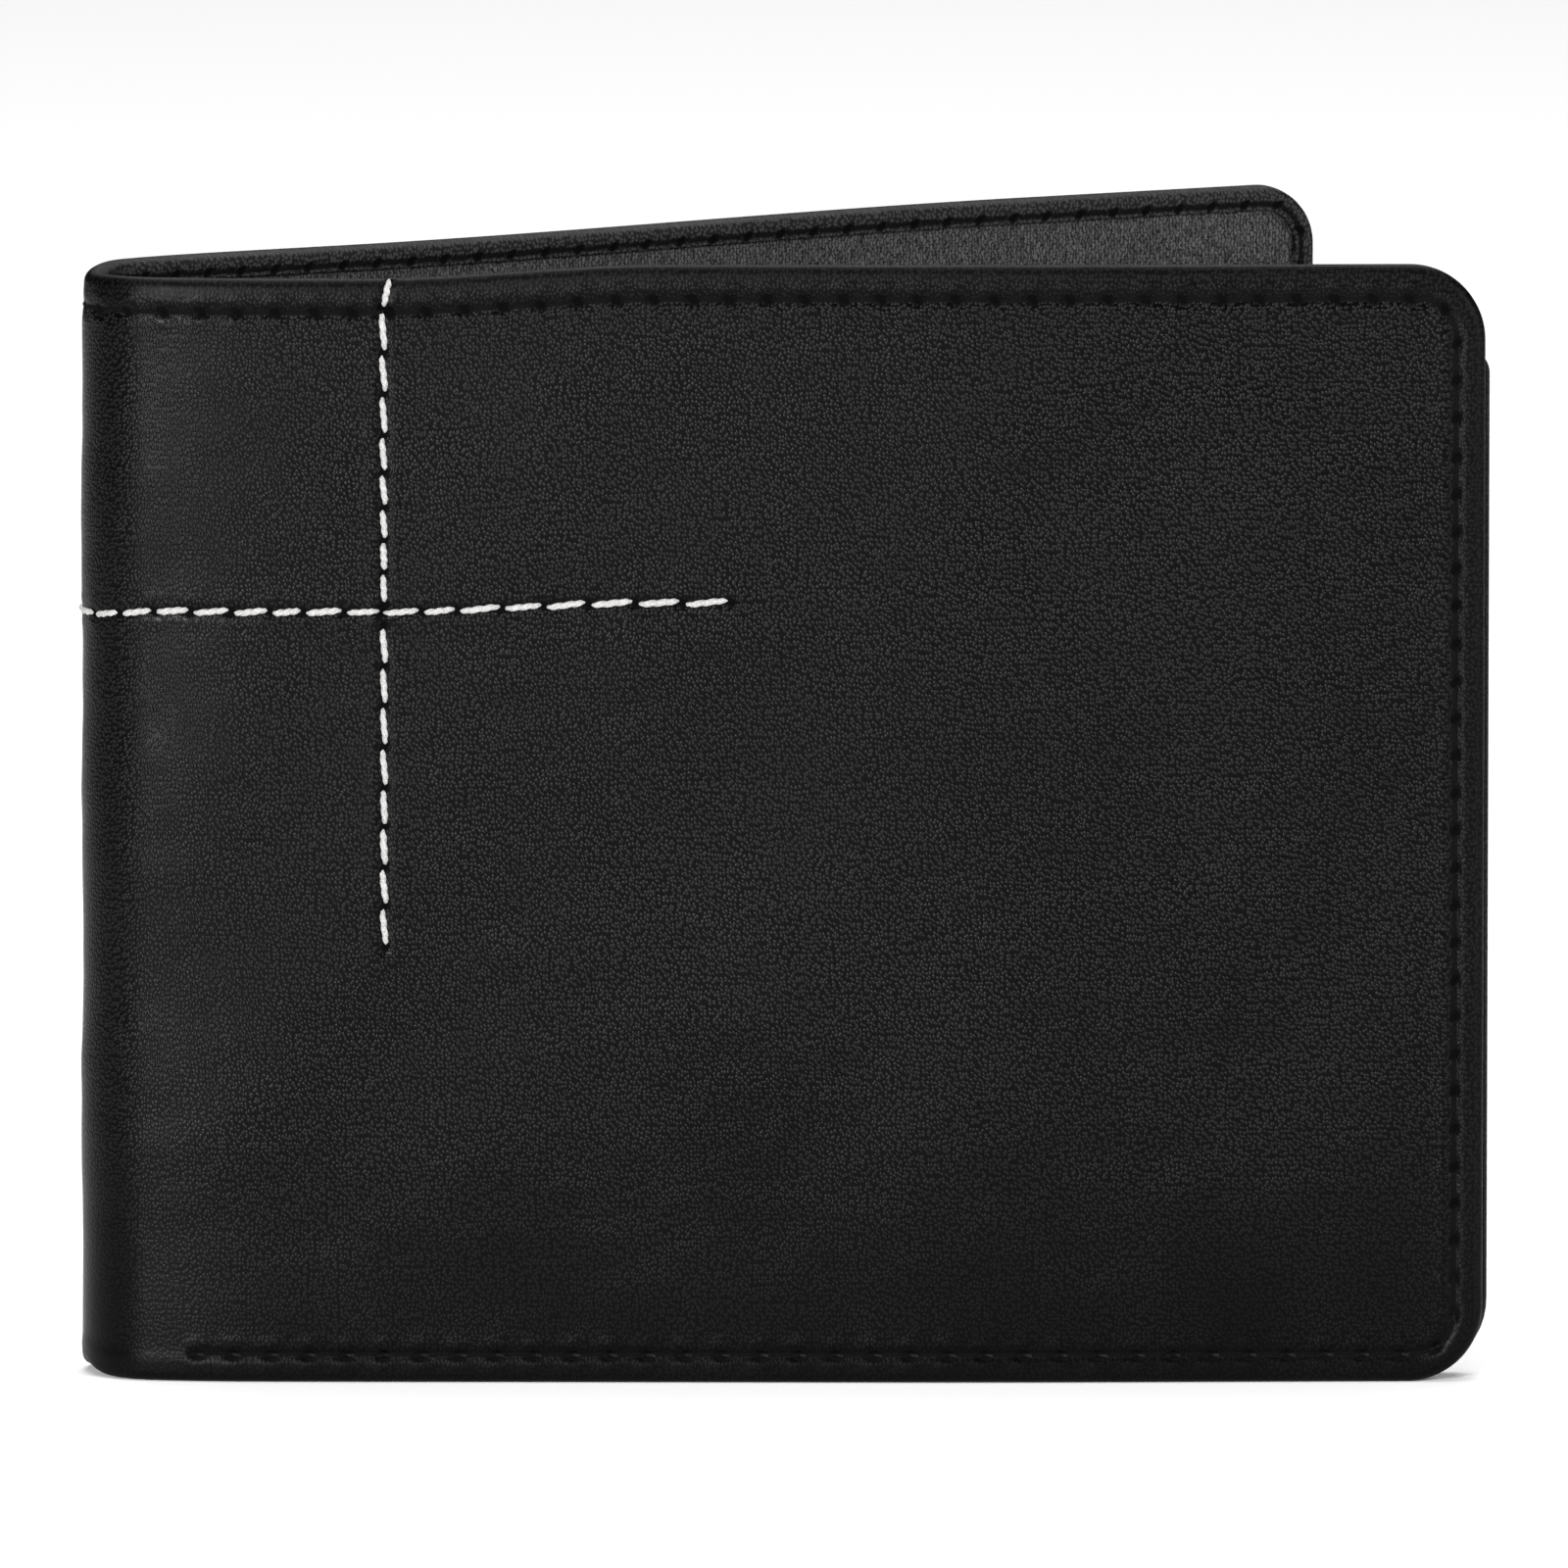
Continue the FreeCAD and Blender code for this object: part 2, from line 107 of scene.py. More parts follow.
CENTRE_INWARD = PUFF_DEPTH + FOLD_RADIUS * math.cos(PUFF_SLOPE)

# Depths of the layers' faces on the halves, and in the spine, which has no stiffener and a thinner wall.
HALF_DEPTHS = (0, LEATHER, LINING.outer, LINING.inner, DIVIDER.outer, DIVIDER.inner, WALL.inner)
SPINE_DEPTHS = (0, 1.1, 1.15, 1.4, 1.95, 2.15, 2.75)
SPINE_END, STACK_START = FOLD_HALF - 1.5, FOLD_HALF + 5.0

TOP_DIP = 1.15  # the top edges sag beside the fold
BACK_DIP = 0.85
FRONT_DIP_REACH = (50, 26)  # where the sag starts and where it is full, from the middle of the fold
BACK_DIP_REACH = (90, 28)
FOLD_DIP = 1.3  # and the top and bottom edges draw together at the fold
FOLD_LIFT = 0.85
FOLD_LIFT_REACH = 2.0
FOLD_BULGE = -0.2  # how proud of a true arc the fold stands at its top, where it lies inside it
FOOT_BULGE = 0.25  # and how much further out its foot is
TOP_TUCK = 0.2  # the seam draws the top of the fold in
TUCK_REACH = (4.5, 1.5)  # between these distances below the top
END_CURL = 1.2  # the front's open end leans inward
CURL_REACH = (70, 125)


def ease(value, low, high):
    """0 at low, 1 at high and smooth between; low may be the larger."""
    share = np.clip((value - low) / (high - low), 0, 1)
    return share * share * (3 - 2 * share)


def bell(value, width):
    return np.exp(-(value / width) ** 2)


def section(distance, depth):
    """Seen from above: distance along a half's outer plane from CORNER, and inward from that plane."""
    s = np.maximum(distance - FOLD_HALF, 0)
    left = np.clip(1 - s / PUFF_LENGTH, 0, 1)
    slope = np.arctan(math.tan(PUFF_SLOPE) * left ** (PUFF_POWER - 1))
    half_along = APEX + s + depth * np.sin(slope)
    half_inward = PUFF_DEPTH * left ** PUFF_POWER + depth * np.cos(slope)
    turn = HALF_TURN - np.minimum(distance, FOLD_HALF) / FOLD_RADIUS
    fold_along = CENTRE_ALONG - (FOLD_RADIUS - depth) * np.sin(turn)
    fold_inward = CENTRE_INWARD - (FOLD_RADIUS - depth) * np.cos(turn)
    on_half = distance > FOLD_HALF
    return np.where(on_half, half_along, fold_along), np.where(on_half, half_inward, fold_inward)


def place(pattern):
    """Stands flat points (u, z, depth) up round the fold, in metres."""
    u, z, depth = pattern.T
    distance = np.abs(u)
    spine = ease(distance, STACK_START, SPINE_END)
    depth = depth + spine * (np.interp(depth, HALF_DEPTHS, SPINE_DEPTHS) - depth) * (depth > 0)
    depth = depth - (FOLD_BULGE + FOOT_BULGE * (1 - z / HEIGHT)) * ease(distance, FOLD_HALF + 6, 0)
    depth = depth + TOP_TUCK * ease(HEIGHT - z, *TUCK_REACH) * ease(distance, FOLD_HALF + 3, 0)
    along, inward = section(distance, depth)
    inward = inward + END_CURL * ease(-u, *CURL_REACH)
    x = np.where(u < 0, along, along * COS + inward * SIN)
    y = np.where(u < 0, inward, along * SIN - inward * COS)
    front_dip = TOP_DIP * ease(distance, *FRONT_DIP_REACH) + (FOLD_DIP - TOP_DIP) * ease(distance, 6, 0)
    back_dip = BACK_DIP * ease(distance, *BACK_DIP_REACH) + (FOLD_DIP - BACK_DIP) * ease(distance, 8, 0)
    dip = np.where(u < 0, front_dip, back_dip)
    lift = FOLD_LIFT / (1 + (distance / FOLD_LIFT_REACH) ** 2) ** 1.3
    height = lift + z * (1 - (lift + dip) / HEIGHT)
    return np.column_stack([CORNER[0] + x, CORNER[1] + y, height]) * MM


# --- what each stretch of a layer rides on ---
Region = namedtuple("Region", "name low high bodies start end links")
HINGE_REACH = 3.0  # the halves' leather starts to bend this far beyond a hinge line
DEEPEST = SPINE_DEPTHS[-1] + 0.1  # just inside the spine's innermost layer
CUT = FOLD_RADIUS * BEND  # u of the middle of the first and last spine links


def around(turn):
    """Direction of travel round the fold where it has turned this far."""
    return np.array([-math.cos(turn), math.sin(turn)])


def regions():
    """Four stretches: each half with its hinge line, and the two stretches of the fold between them."""
    centre = CORNER + np.array([CENTRE_ALONG, CENTRE_INWARD])
    front_start = FRONT.hinge + HINGE_REACH * FRONT.along
    back_end = BACK.hinge + HINGE_REACH * BACK.along
    leave, arrive = around(BEND), around(3 * BEND)
    half_span = (FOLD_RADIUS - DEEPEST) * math.sin(BEND / 2)
    spans = [(front_start, front_start + leave * (leave @ (centre - front_start)))]
    for turn in (1.5 * BEND, 2.5 * BEND):
        spans.append((centre - half_span * around(turn), centre + half_span * around(turn)))
    spans.append((back_end - arrive * (arrive @ (back_end - centre)), back_end))
    limits = [-math.inf, -CUT, 0.0, CUT, math.inf]
    names = ["front", "fold_a", "fold_b", "back"]
    bodies = ["front_half", "spine_1", "spine_2", "spine_3", "back_half"]
    links = [(1,), (1, 2), (2, 3), (3,)]
    made = []
    for k, (start, end) in enumerate(spans):
        ends = [Vector((*(point * MM), 0)) for point in (start, end)]
        made.append(Region(names[k], limits[k], limits[k + 1], bodies[k:k + 2], *ends, links[k]))
    return made


REGIONS = regions()


def on_half(distance, half):
    """u of a place at this distance beyond a half's hinge line."""
    return half.sign * (FOLD_HALF + distance)


# --- flat sheets ---
Outline = namedtuple("Outline", "u0 u1 z0 z1 radii")     # radii anticlockwise from the corner u0, z0
TINY = 1e-6


def corners(outline):
    u0, u1, z0, z1, (a, b, c, d) = outline
    return [(u0 + a, z0 + a, a, -1, -1), (u1 - b, z0 + b, b, 1, -1),
            (u1 - c, z1 - c, c, 1, 1), (u0 + d, z1 - d, d, -1, 1)]


def round_corners(u, z, outline):
    """Draws a grid's square corners in to the outline's round ones."""
    for cu, cz, radius, su, sz in corners(outline):
        x, y = (u - cu) * su / radius, (z - cz) * sz / radius
        inside = (x > 0) & (y > 0)
        u = np.where(inside, cu + su * radius * x * np.sqrt(np.clip(1 - y * y / 2, 0, 1)), u)
        z = np.where(inside, cz + sz * radius * y * np.sqrt(np.clip(1 - x * x / 2, 0, 1)), z)
    return u, z


def from_edge(u, z, outline):
    """Distance in from the outline."""
    distance = np.minimum.reduce([u - outline.u0, outline.u1 - u, z - outline.z0, outline.z1 - z])
    for cu, cz, radius, su, sz in corners(outline):
        x, y = (u - cu) * su, (z - cz) * sz
        distance = np.where((x > 0) & (y > 0), radius - np.hypot(x, y), distance)
    return distance


def shift_in(u, z, outline, inset):
    """Points of the border moved in from it."""
    du = np.where(u < outline.u0 + TINY, 1.0, np.where(u > outline.u1 - TINY, -1.0, 0.0)) * inset
    dz = np.where(z < outline.z0 + TINY, 1.0, np.where(z > outline.z1 - TINY, -1.0, 0.0)) * inset
    for cu, cz, radius, su, sz in corners(outline):
        inside = ((u - cu) * su > -TINY) & ((z - cz) * sz > -TINY)
        share = min(inset / radius, 0.95)
        du = np.where(inside, (cu - u) * share, du)
        dz = np.where(inside, (cz - z) * share, dz)
    return u + du, z + dz


def graded(*stops):
    """Grid lines from place, step, place, step, ..., place."""
    lines = [np.array([stops[0]])]
    for start, step, end in zip(stops[:-2:2], stops[1:-1:2], stops[2::2]):
        count = max(1, math.ceil((end - start) / step - TINY))
        lines.append(np.linspace(start, end, count + 1)[1:])
    return np.concatenate(lines)


def rolled(width, count=5):
    """Distances from an edge, closer together towards it."""
    return width * (1 - np.cos(np.linspace(0, math.pi / 2, count + 1)))


def grid_quads(index):
    return np.stack([index[:-1, :-1], index[:-1, 1:], index[1:, 1:], index[1:, :-1]], -1).reshape(-1, 4)


def ring_quads(near, far):
    """Quads between closed loops of points, or between matching rows of such loops."""
    return np.stack([near, np.roll(near, -1, -1), np.roll(far, -1, -1), far], -1).reshape(-1, 4)


Sheet = namedtuple("Sheet", "points quads hidden sections")


def make_sheet(outline, u_lines, z_lines, face, rim, inward=False):
    """Closed sheet. face(u, z, edge) gives the depth of its detailed side, which looks outward unless inward
    is set. rim lists (inset, depth) from that side's border to the plain side."""
    grid_u, grid_z = np.meshgrid(u_lines, z_lines, indexing="ij")
    grid_u, grid_z = round_corners(grid_u, grid_z, outline)
    depth = face(grid_u, grid_z, from_edge(grid_u, grid_z, outline))
    points = [np.column_stack([grid_u.ravel(), grid_z.ravel(), depth.ravel()])]
    columns, rows = grid_u.shape
    index = np.arange(columns * rows).reshape(columns, rows)

    border = np.concatenate([index[:-1, 0], index[-1, :-1], index[:0:-1, -1], index[0, :0:-1]])
    loops = [border]
    for inset, ring_depth in rim:
        u, z = shift_in(points[0][border, 0], points[0][border, 1], outline, inset)
        loops.append(np.arange(len(border)) + sum(map(len, points)))
        points.append(np.column_stack([u, z, np.full(len(u), ring_depth)]))
    points = np.concatenate(points)

    quads = [grid_quads(index)]
    for near, far in zip(loops, loops[1:]):
        quads.append(ring_quads(near, far))
    last = loops[-1]
    top_at = (columns - 1) + (rows - 1) + (columns - 1)  # place of column 0 of the top row in a loop
    low_corner, high_corner = max(outline.radii[0], outline.radii[3]), max(outline.radii[1], outline.radii[2])
    first = int(np.searchsorted(u_lines, outline.u0 + low_corner - TINY))
    final = int(np.searchsorted(u_lines, outline.u1 - high_corner + TINY)) - 1
    hidden = [tuple(np.concatenate([last[:first + 1], last[top_at - first:]])),
              tuple(last[final:top_at - final + 1])]
    for i in range(first, final):
        hidden.append((last[i], last[i + 1], last[top_at - i - 1], last[top_at - i]))

    def cut_loop(i):
        """Outline of the sheet's section at column i."""
        over = [loop[top_at - i] for loop in loops[1:]]
        under = [loop[i] for loop in reversed(loops[1:])]
        return [*index[i], *over, *under]

    sections = {round(float(u_lines[i]), 6): cut_loop(i) for i in range(1, columns - 1)}
    quads = np.concatenate(quads)
    if inward:
        quads = quads[:, ::-1]
        hidden = [face[::-1] for face in hidden]
        sections = {u: loop[::-1] for u, loop in sections.items()}
    return Sheet(points, quads, hidden, sections)


def corner_normals(placed, quads):
    """Smooth normals from the quads round each point."""
    sides = np.cross(placed[quads[:, 2]] - placed[quads[:, 0]], placed[quads[:, 3]] - placed[quads[:, 1]])
    normals = np.zeros_like(placed)
    for k in range(4):
        np.add.at(normals, quads[:, k], sides)
    return normals / np.maximum(np.linalg.norm(normals, axis=1, keepdims=True), 1e-12)


def add(name, data):
    made = bpy.data.objects.new(name, data)
    bpy.context.scene.collection.objects.link(made)
    return made


def new_object(name, points, faces, attributes, normals=None):
    """Mesh object from flat points. attributes holds per-point vectors for the materials."""
    mesh = bpy.data.meshes.new(name)
    mesh.from_pydata(place(points).tolist(), [], faces)
    mesh.shade_smooth()
    for key, values in attributes.items():
        data = mesh.attributes.new(key, "FLOAT_VECTOR", "POINT").data
        data.foreach_set("vector", np.ascontiguousarray(values, np.float32).ravel())
    if normals is not None:
        mesh.normals_split_custom_set(normals)
    return add(name, mesh)


def finish_piece(made, slot, nodes):
    made.data.materials.append(MATERIALS[slot])
    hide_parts(*nodes)
    return made


def sheet_object(name, sheet, low, high, sewing):
    """The stretch of a sheet between two values of u, closed with a cap where it was cut."""
    placed = place(sheet.points)
    smooth = corner_normals(placed, sheet.quads)
    inward = place(sheet.points + [0, 0, 0.01]) - placed
    inward /= np.linalg.norm(inward, axis=1, keepdims=True)
    middle = sheet.points[sheet.quads, 0].mean(1)
    quads = sheet.quads[(middle > low) & (middle < high)]
    hidden = [face for face in sheet.hidden if low < sheet.points[list(face), 0].mean() < high]
    caps = []
    if high < math.inf:
        caps.append(sheet.sections[round(high, 6)])
    if low > -math.inf:
        caps.append(sheet.sections[round(low, 6)][::-1])

    faces = [*map(tuple, quads.tolist()), *hidden, *map(tuple, caps)]
    used, flat = np.unique(np.concatenate([np.asarray(face) for face in faces]), return_inverse=True)
    side = 1 if (smooth * inward).sum(1)[sheet.quads[0, 0]] < 0 else -1
    loop_normals = [smooth[quads.ravel()]]
    loop_normals += [side * inward[list(face)] for face in hidden]
    for cap, sign in zip(caps, (1, -1) if high < math.inf else (-1,)):
        across = place(sheet.points[cap] + [0.01, 0, 0]) - placed[cap]
        loop_normals.append(sign * across / np.linalg.norm(across, axis=1, keepdims=True))

    ends = np.cumsum([len(face) for face in faces])
    faces = [tuple(part.tolist()) for part in np.split(flat, ends[:-1])]
    points = sheet.points[used]
    attributes = {"pattern": points, "sewing": sewing(points) if sewing else np.full_like(points, FAR)}
    return new_object(name, points, faces, attributes, np.concatenate(loop_normals).tolist())


def across_fold(name, make, slot, half_nodes, spine_node):
    """One object for each region, from make(name, region). half_nodes names a CAD node for each half, and
    spine_node is a pattern for those of the spine."""
    made = []
    for region in REGIONS:
        piece = make(f"{name}_{region.name}", region)
        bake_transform(piece)
        nodes = [spine_node.format(link) for link in region.links]
        if region.name in half_nodes:
            nodes.append(half_nodes[region.name])
        made.append(finish_piece(piece, slot, nodes))
    return made


def on_both(half_node):
    """A pattern's CAD nodes on the two halves."""
    return {half.name: half_node.format(half.name) for half in (FRONT, BACK)}


def layer(name, sheet, slot, half_node, spine_node, sewing=None):
    """A layer that crosses the fold."""
    def make(title, region):
        return sheet_object(title, sheet, region.low, region.high, sewing)
    return across_fold(name, make, slot, on_both(half_node), spine_node)


def ride_half(piece, half, slot, node):
    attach(piece, f"{half.name}_half")
    finish_piece(piece, slot, [node])


def leaf(name, sheet, half, slot, node, sewing=None):
    """A layer that stays on one half."""
    ride_half(sheet_object(name, sheet, -math.inf, math.inf, sewing), half, slot, node)


# --- seams ---
FAR = 9.0  # stands for "no seam near"
SAMPLE = 0.2


class Seam:
    """A stitched line through flat points, with round corners. Its holes are a pitch apart, growing along it
    by the share growth. drop(u) lowers it."""

    def __init__(self, points, pitch, radius=0.0, jitter=0.0, seed=0, growth=0.0, drop=None):
        path = self.sampled([np.array(point, float) for point in points], radius)
        if drop:
            path[:, 1] -= drop(path[:, 0])
        steps = np.hypot(*np.diff(path, axis=0).T)
        self.along = np.concatenate([[0], np.cumsum(steps)])
        self.path = path
        count = round(self.along[-1] / pitch)
        draws = np.random.RandomState(seed).uniform(-jitter, jitter, count + 1)
        share = np.arange(count + 1) / count
        draws[[0, -1]] = 0
        self.holes = (share + growth * share * (share - 1) + draws / count) * self.along[-1]
        self.tree = KDTree(len(path))
        for k, (u, z) in enumerate(path):
            self.tree.insert((u, z, 0), k)
        self.tree.balance()

    @staticmethod
    def sampled(points, radius):
        """Evenly spaced points on the line, its corners turned by arcs of the radius."""
        rows, start = [], points[0]
        for before, point, after in zip(points, points[1:], points[2:]):
            back, on = (before - point), (after - point)
            back, on = back / np.hypot(*back), on / np.hypot(*on)
            centre = point + radius * (back + on)
            rows.append(straight(start, point + radius * back))
            turn = np.linspace(0, math.pi / 2, max(3, int(radius / SAMPLE * 1.6)))[1:, None]
            rows.append(centre - radius * (on * np.cos(turn) + back * np.sin(turn)))
            start = point + radius * on
        rows.append(straight(start, points[-1]))
        rows.append(points[-1][None])
        return np.concatenate(rows)

    def at(self, along):
        """Points of the line and its headings there."""
        point, ahead, behind = (
            np.column_stack([np.interp(along + shift, self.along, line) for line in self.path.T])
            for shift in (0, SAMPLE, -SAMPLE))
        du, dz = (ahead - behind).T
        return point, np.arctan2(dz, du)

    def locate(self, u, z, reach=4.0):
        """(stitches along, distance from the nearest hole, distance across) for each point near the line."""
        stitch, gap, across = (np.full(u.shape, FAR) for _ in range(3))
        flat_u, flat_z = u.ravel(), z.ravel()
        low, high = self.path.min(0) - reach, self.path.max(0) + reach
        near = np.nonzero((flat_u > low[0]) & (flat_u < high[0]) & (flat_z > low[1]) & (flat_z < high[1]))[0]
        for k in near:
            _, found, distance = self.tree.find((flat_u[k], flat_z[k], 0))
            if distance > reach:
                continue
            before, after = max(found - 1, 0), min(found + 1, len(self.path) - 1)
            heading = self.path[after] - self.path[before]
            heading /= np.hypot(*heading)
            offset = (flat_u[k] - self.path[found, 0], flat_z[k] - self.path[found, 1])
            along = self.along[found] + offset[0] * heading[0] + offset[1] * heading[1]
            stitch.flat[k] = np.interp(along, self.holes, np.arange(len(self.holes)))
            gap.flat[k] = np.abs(self.holes - along).min()
            beyond = max(0.0, -along, along - self.along[-1])
            sideways = offset[1] * heading[0] - offset[0] * heading[1]
            across.flat[k] = math.copysign(math.hypot(sideways, beyond), sideways)
        return stitch, gap, across


def straight(start, end):
    """Evenly spaced points from start up to, and without, end."""
    count = max(1, round(np.hypot(*(end - start)) / SAMPLE))
    return start + (end - start) * np.linspace(0, 1, count + 1)[:-1, None]


FOLD_PRESS = 0.25  # share of a seam's press that is left round the fold
FOLD_PRESS_REACH = (12, 4)


def sewn(seam, u, z, groove, pit, pucker=0.0):
    """Depth that a seam presses into the leather: a groove, a pit at each hole and puckers beside it. It
    presses less round the fold, where the leather is stretched."""
    _, gap, across = seam.locate(u, z)
    press = 1 - (1 - FOLD_PRESS) * ease(np.abs(u), *FOLD_PRESS_REACH)
    groove, pit = groove * press, pit * press
    beside = bell(np.abs(across) - 1.0, 0.5) * (0.5 + 0.5 * np.cos(np.minimum(gap, 1.5) / 1.5 * math.pi))
    return groove * bell(across, 0.4) + pit * bell(across, 0.32) * bell(gap, 0.42) - pucker * beside


def seam_marks(points, seams):
    """Stitches along and distance across the nearest seam, with room for a third value."""
    marks = np.full_like(points, FAR)
    for seam in seams:
        stitch, _, across = seam.locate(points[:, 0], points[:, 1], reach=2.5)
        nearer = np.abs(across) < np.abs(marks[:, 1])
        marks[nearer, 0] = stitch[nearer]
        marks[nearer, 1] = across[nearer]
    return marks


def sewing_marks(seams, outline=None, hem_seams=()):
    """Per-point values for the leather's material: stitches along, distance across, and distance from the
    edge on the outside. The hem, on the inside, has seams of its own, and a negative third value."""
    def measure(points):
        marks = seam_marks(points, seams)
        if outline is not None:
            marks[:, 2] = from_edge(points[:, 0], points[:, 1], outline)
            inside = points[:, 2] > ROLL_DEPTH + 0.1
            marks[inside] = seam_marks(points[inside], hem_seams) * [1, 1, -1]
        return marks
    return measure


TOP_SEAM = 2.75  # seam lines, in from the edges
SIDE_SEAM = 2.35
SEAM_CORNER = 3.2
BLACK_PITCH = 3.07
WHITE_PITCH = 3.36
BOTTOM_SEAM_START = 4.0  # beyond the hinge line
HEM_SEAM = 1.45  # the hem's own seam, inside
COVER_END = FOLD_HALF + COVER.end
WHITE_COLUMN = -(FOLD_HALF + 19.45)
WHITE_COLUMN_FOOT = 36.4
WHITE_ROW = 64.4
WHITE_ROW_END = 47.8  # beyond the front's hinge line, and beyond the back's
WHITE_ROW_BACK_END = 21.0
ROW_DROP = 0.75  # the row runs this much lower from the fold on


def black_seam(points, seed, corner=SEAM_CORNER):
    return Seam(points, BLACK_PITCH, corner, jitter=0.03, seed=seed)


def border_points(inset, top, foot):
    """Corners of a line up the front's open end, along the top and down the back's open end."""
    side = COVER_END - inset
    return [(-side, foot), (-side, top), (side, top), (side, foot)]


BOTTOM_START = FOLD_HALF + BOTTOM_SEAM_START
EDGE_SEAM = black_seam([(-BOTTOM_START, SIDE_SEAM), *border_points(SIDE_SEAM, HEIGHT - TOP_SEAM, SIDE_SEAM),
                        (BOTTOM_START, SIDE_SEAM)], seed=2)
HEM_SEAM_LINE = black_seam(border_points(HEM_SEAM, HEIGHT - HEM_SEAM, WALL.high + 0.4), seed=4)


def row_drop(u):
    return ROW_DROP * ease(u, -FOLD_HALF - 2.5, 0)


# The row runs both ways from the column, and the column down and up from the row and over the top edge.
CROSSING = (WHITE_COLUMN + 0.2, WHITE_ROW)
ROW_SEAMS = [Seam([CROSSING, (on_half(WHITE_ROW_END, FRONT), WHITE_ROW)], pitch=3.55, jitter=0.06, seed=5,
                  growth=0.15),
             Seam([CROSSING, (on_half(WHITE_ROW_BACK_END, BACK), WHITE_ROW)], pitch=3.05, jitter=0.08, seed=6,
                  drop=row_drop)]
COLUMN_SEAMS = [Seam([(WHITE_COLUMN, WHITE_ROW - 1.1), (WHITE_COLUMN, WHITE_COLUMN_FOOT)], WHITE_PITCH,
                     jitter=0.04, seed=7),
                Seam([(WHITE_COLUMN, WHITE_ROW + 0.6), (WHITE_COLUMN, HEIGHT - TOP_SEAM + 0.3)], pitch=3.1,
                     jitter=0.05, seed=8, growth=0.2),
                Seam([(WHITE_COLUMN + 0.1, HEIGHT - TOP_SEAM + 0.4), (WHITE_COLUMN - 0.65, HEIGHT + 0.1)],
                     pitch=2.5)]
WHITE_SEAMS = ROW_SEAMS + COLUMN_SEAMS


# --- cover ---
ROLL_WIDTH = 0.85  # the rolled edge, seen from outside
ROLL_DEPTH = 0.8
HEM_ROLL = 0.5  # and from inside
HEM_WIDTH = 2.0
HEM_UNDER = 0.95  # the lining and board reach this close to the edge, under the hem
FRONT_CORNER = 6.2
BACK_CORNER = 5.0
PANEL_STEP = 0.42  # grid steps on the plain leather, beside seams and in the fold
SEAM_STEP = 0.22
FOLD_STEP = 0.33
SEAM_ZONE = 4.3
WHITE_ZONE = 1.2  # either side of a white line
HEM_GROOVE = ((-0.4, 0.0), (-0.18, 0.06), (0.0, 0.2), (0.18, 0.06))  # (across the hem's seam, dent)


def uneven(u, z, seed, size, count=7):
    """Soft lumps of about unit height, from a few crossing waves of the size and up."""
    draws = np.random.RandomState(seed)
    total = np.zeros_like(u)
    for _ in range(count):
        heading, phase = draws.uniform(0, math.pi), draws.uniform(0, 2 * math.pi)
        length = size * draws.uniform(1, 2.4)
        total += np.sin((u * math.cos(heading) + z * math.sin(heading)) * 2 * math.pi / length + phase)
    return total / math.sqrt(count / 2)


def roll(edge):
    """Depth of the rolled edge at a distance from it."""
    share = np.clip(1 - edge / ROLL_WIDTH, 0, 1)
    return ROLL_DEPTH * (1 - np.sqrt(1 - share * share))


def cover_face(u, z, edge):
    depth = roll(edge) - 0.06 * bell(edge - 1.7, 0.7)
    depth += sewn(EDGE_SEAM, u, z, groove=0.16, pit=0.36, pucker=0.07)
    for seam in WHITE_SEAMS:
        depth += sewn(seam, u, z, groove=0.12, pit=0.25, pucker=0.05)
    inside = ease(edge, 3.5, 14)
    return depth + inside * (0.05 * uneven(u, z, 3, 16) + 0.015 * uneven(u, z, 8, 4.5))


def hem_rim():
    """From the rolled edge's outermost line round to the inside, across the hem and back under it."""
    rim = []
    for angle in np.linspace(0, math.pi / 2, 6)[1:]:
        depth = ROLL_DEPTH + (COVER.inner - ROLL_DEPTH) * math.sin(angle)
        rim.append((HEM_ROLL * (1 - math.cos(angle)), depth))
    for inset, dent in HEM_GROOVE:
        rim.append((HEM_SEAM + inset, COVER.inner - dent))
    under = LINING.inner + 0.02
    rim += [(HEM_WIDTH - 0.1, COVER.inner), (HEM_WIDTH, COVER.inner - 0.08), (HEM_WIDTH, under + 0.08)]
    return rim + [(HEM_WIDTH - 0.08, under), (HEM_UNDER, under), (HEM_UNDER, LEATHER)]


def distance_lines(column=None):
    """Grid lines of one half of the cover, as distances from the middle of the fold."""
    stops = [0, FOLD_STEP, CUT, FOLD_STEP, FOLD_HALF + 3, PANEL_STEP]
    if column:
        stops += [column - WHITE_ZONE, SEAM_STEP, column + WHITE_ZONE, PANEL_STEP]
    stops += [COVER_END - SEAM_ZONE, SEAM_STEP, COVER_END - ROLL_WIDTH]
    return np.concatenate([graded(*stops)[:-1], COVER_END - rolled(ROLL_WIDTH)[::-1]])


def height_lines():
    stops = [ROLL_WIDTH, SEAM_STEP, SEAM_ZONE, PANEL_STEP, WHITE_ROW - WHITE_ZONE, SEAM_STEP,
             WHITE_ROW + WHITE_ZONE, PANEL_STEP, HEIGHT - SEAM_ZONE - 0.3, SEAM_STEP, HEIGHT - ROLL_WIDTH]
    return np.concatenate([rolled(ROLL_WIDTH)[:-1], graded(*stops)[:-1], HEIGHT - rolled(ROLL_WIDTH)[::-1]])


def make_cover():
    radii = (FRONT_CORNER, BACK_CORNER, BACK_CORNER, FRONT_CORNER)
    outline = Outline(-COVER_END, COVER_END, 0.0, HEIGHT, radii)
    u_lines = np.concatenate([-distance_lines(-WHITE_COLUMN)[::-1], distance_lines()[1:]])
    sheet = make_sheet(outline, u_lines, height_lines(), cover_face, hem_rim())
    layer("cover", sheet, "cover_leather", "{}_cover", "spine_cover_{}",
          sewing_marks([EDGE_SEAM, *WHITE_SEAMS], outline, [HEM_SEAM_LINE]))


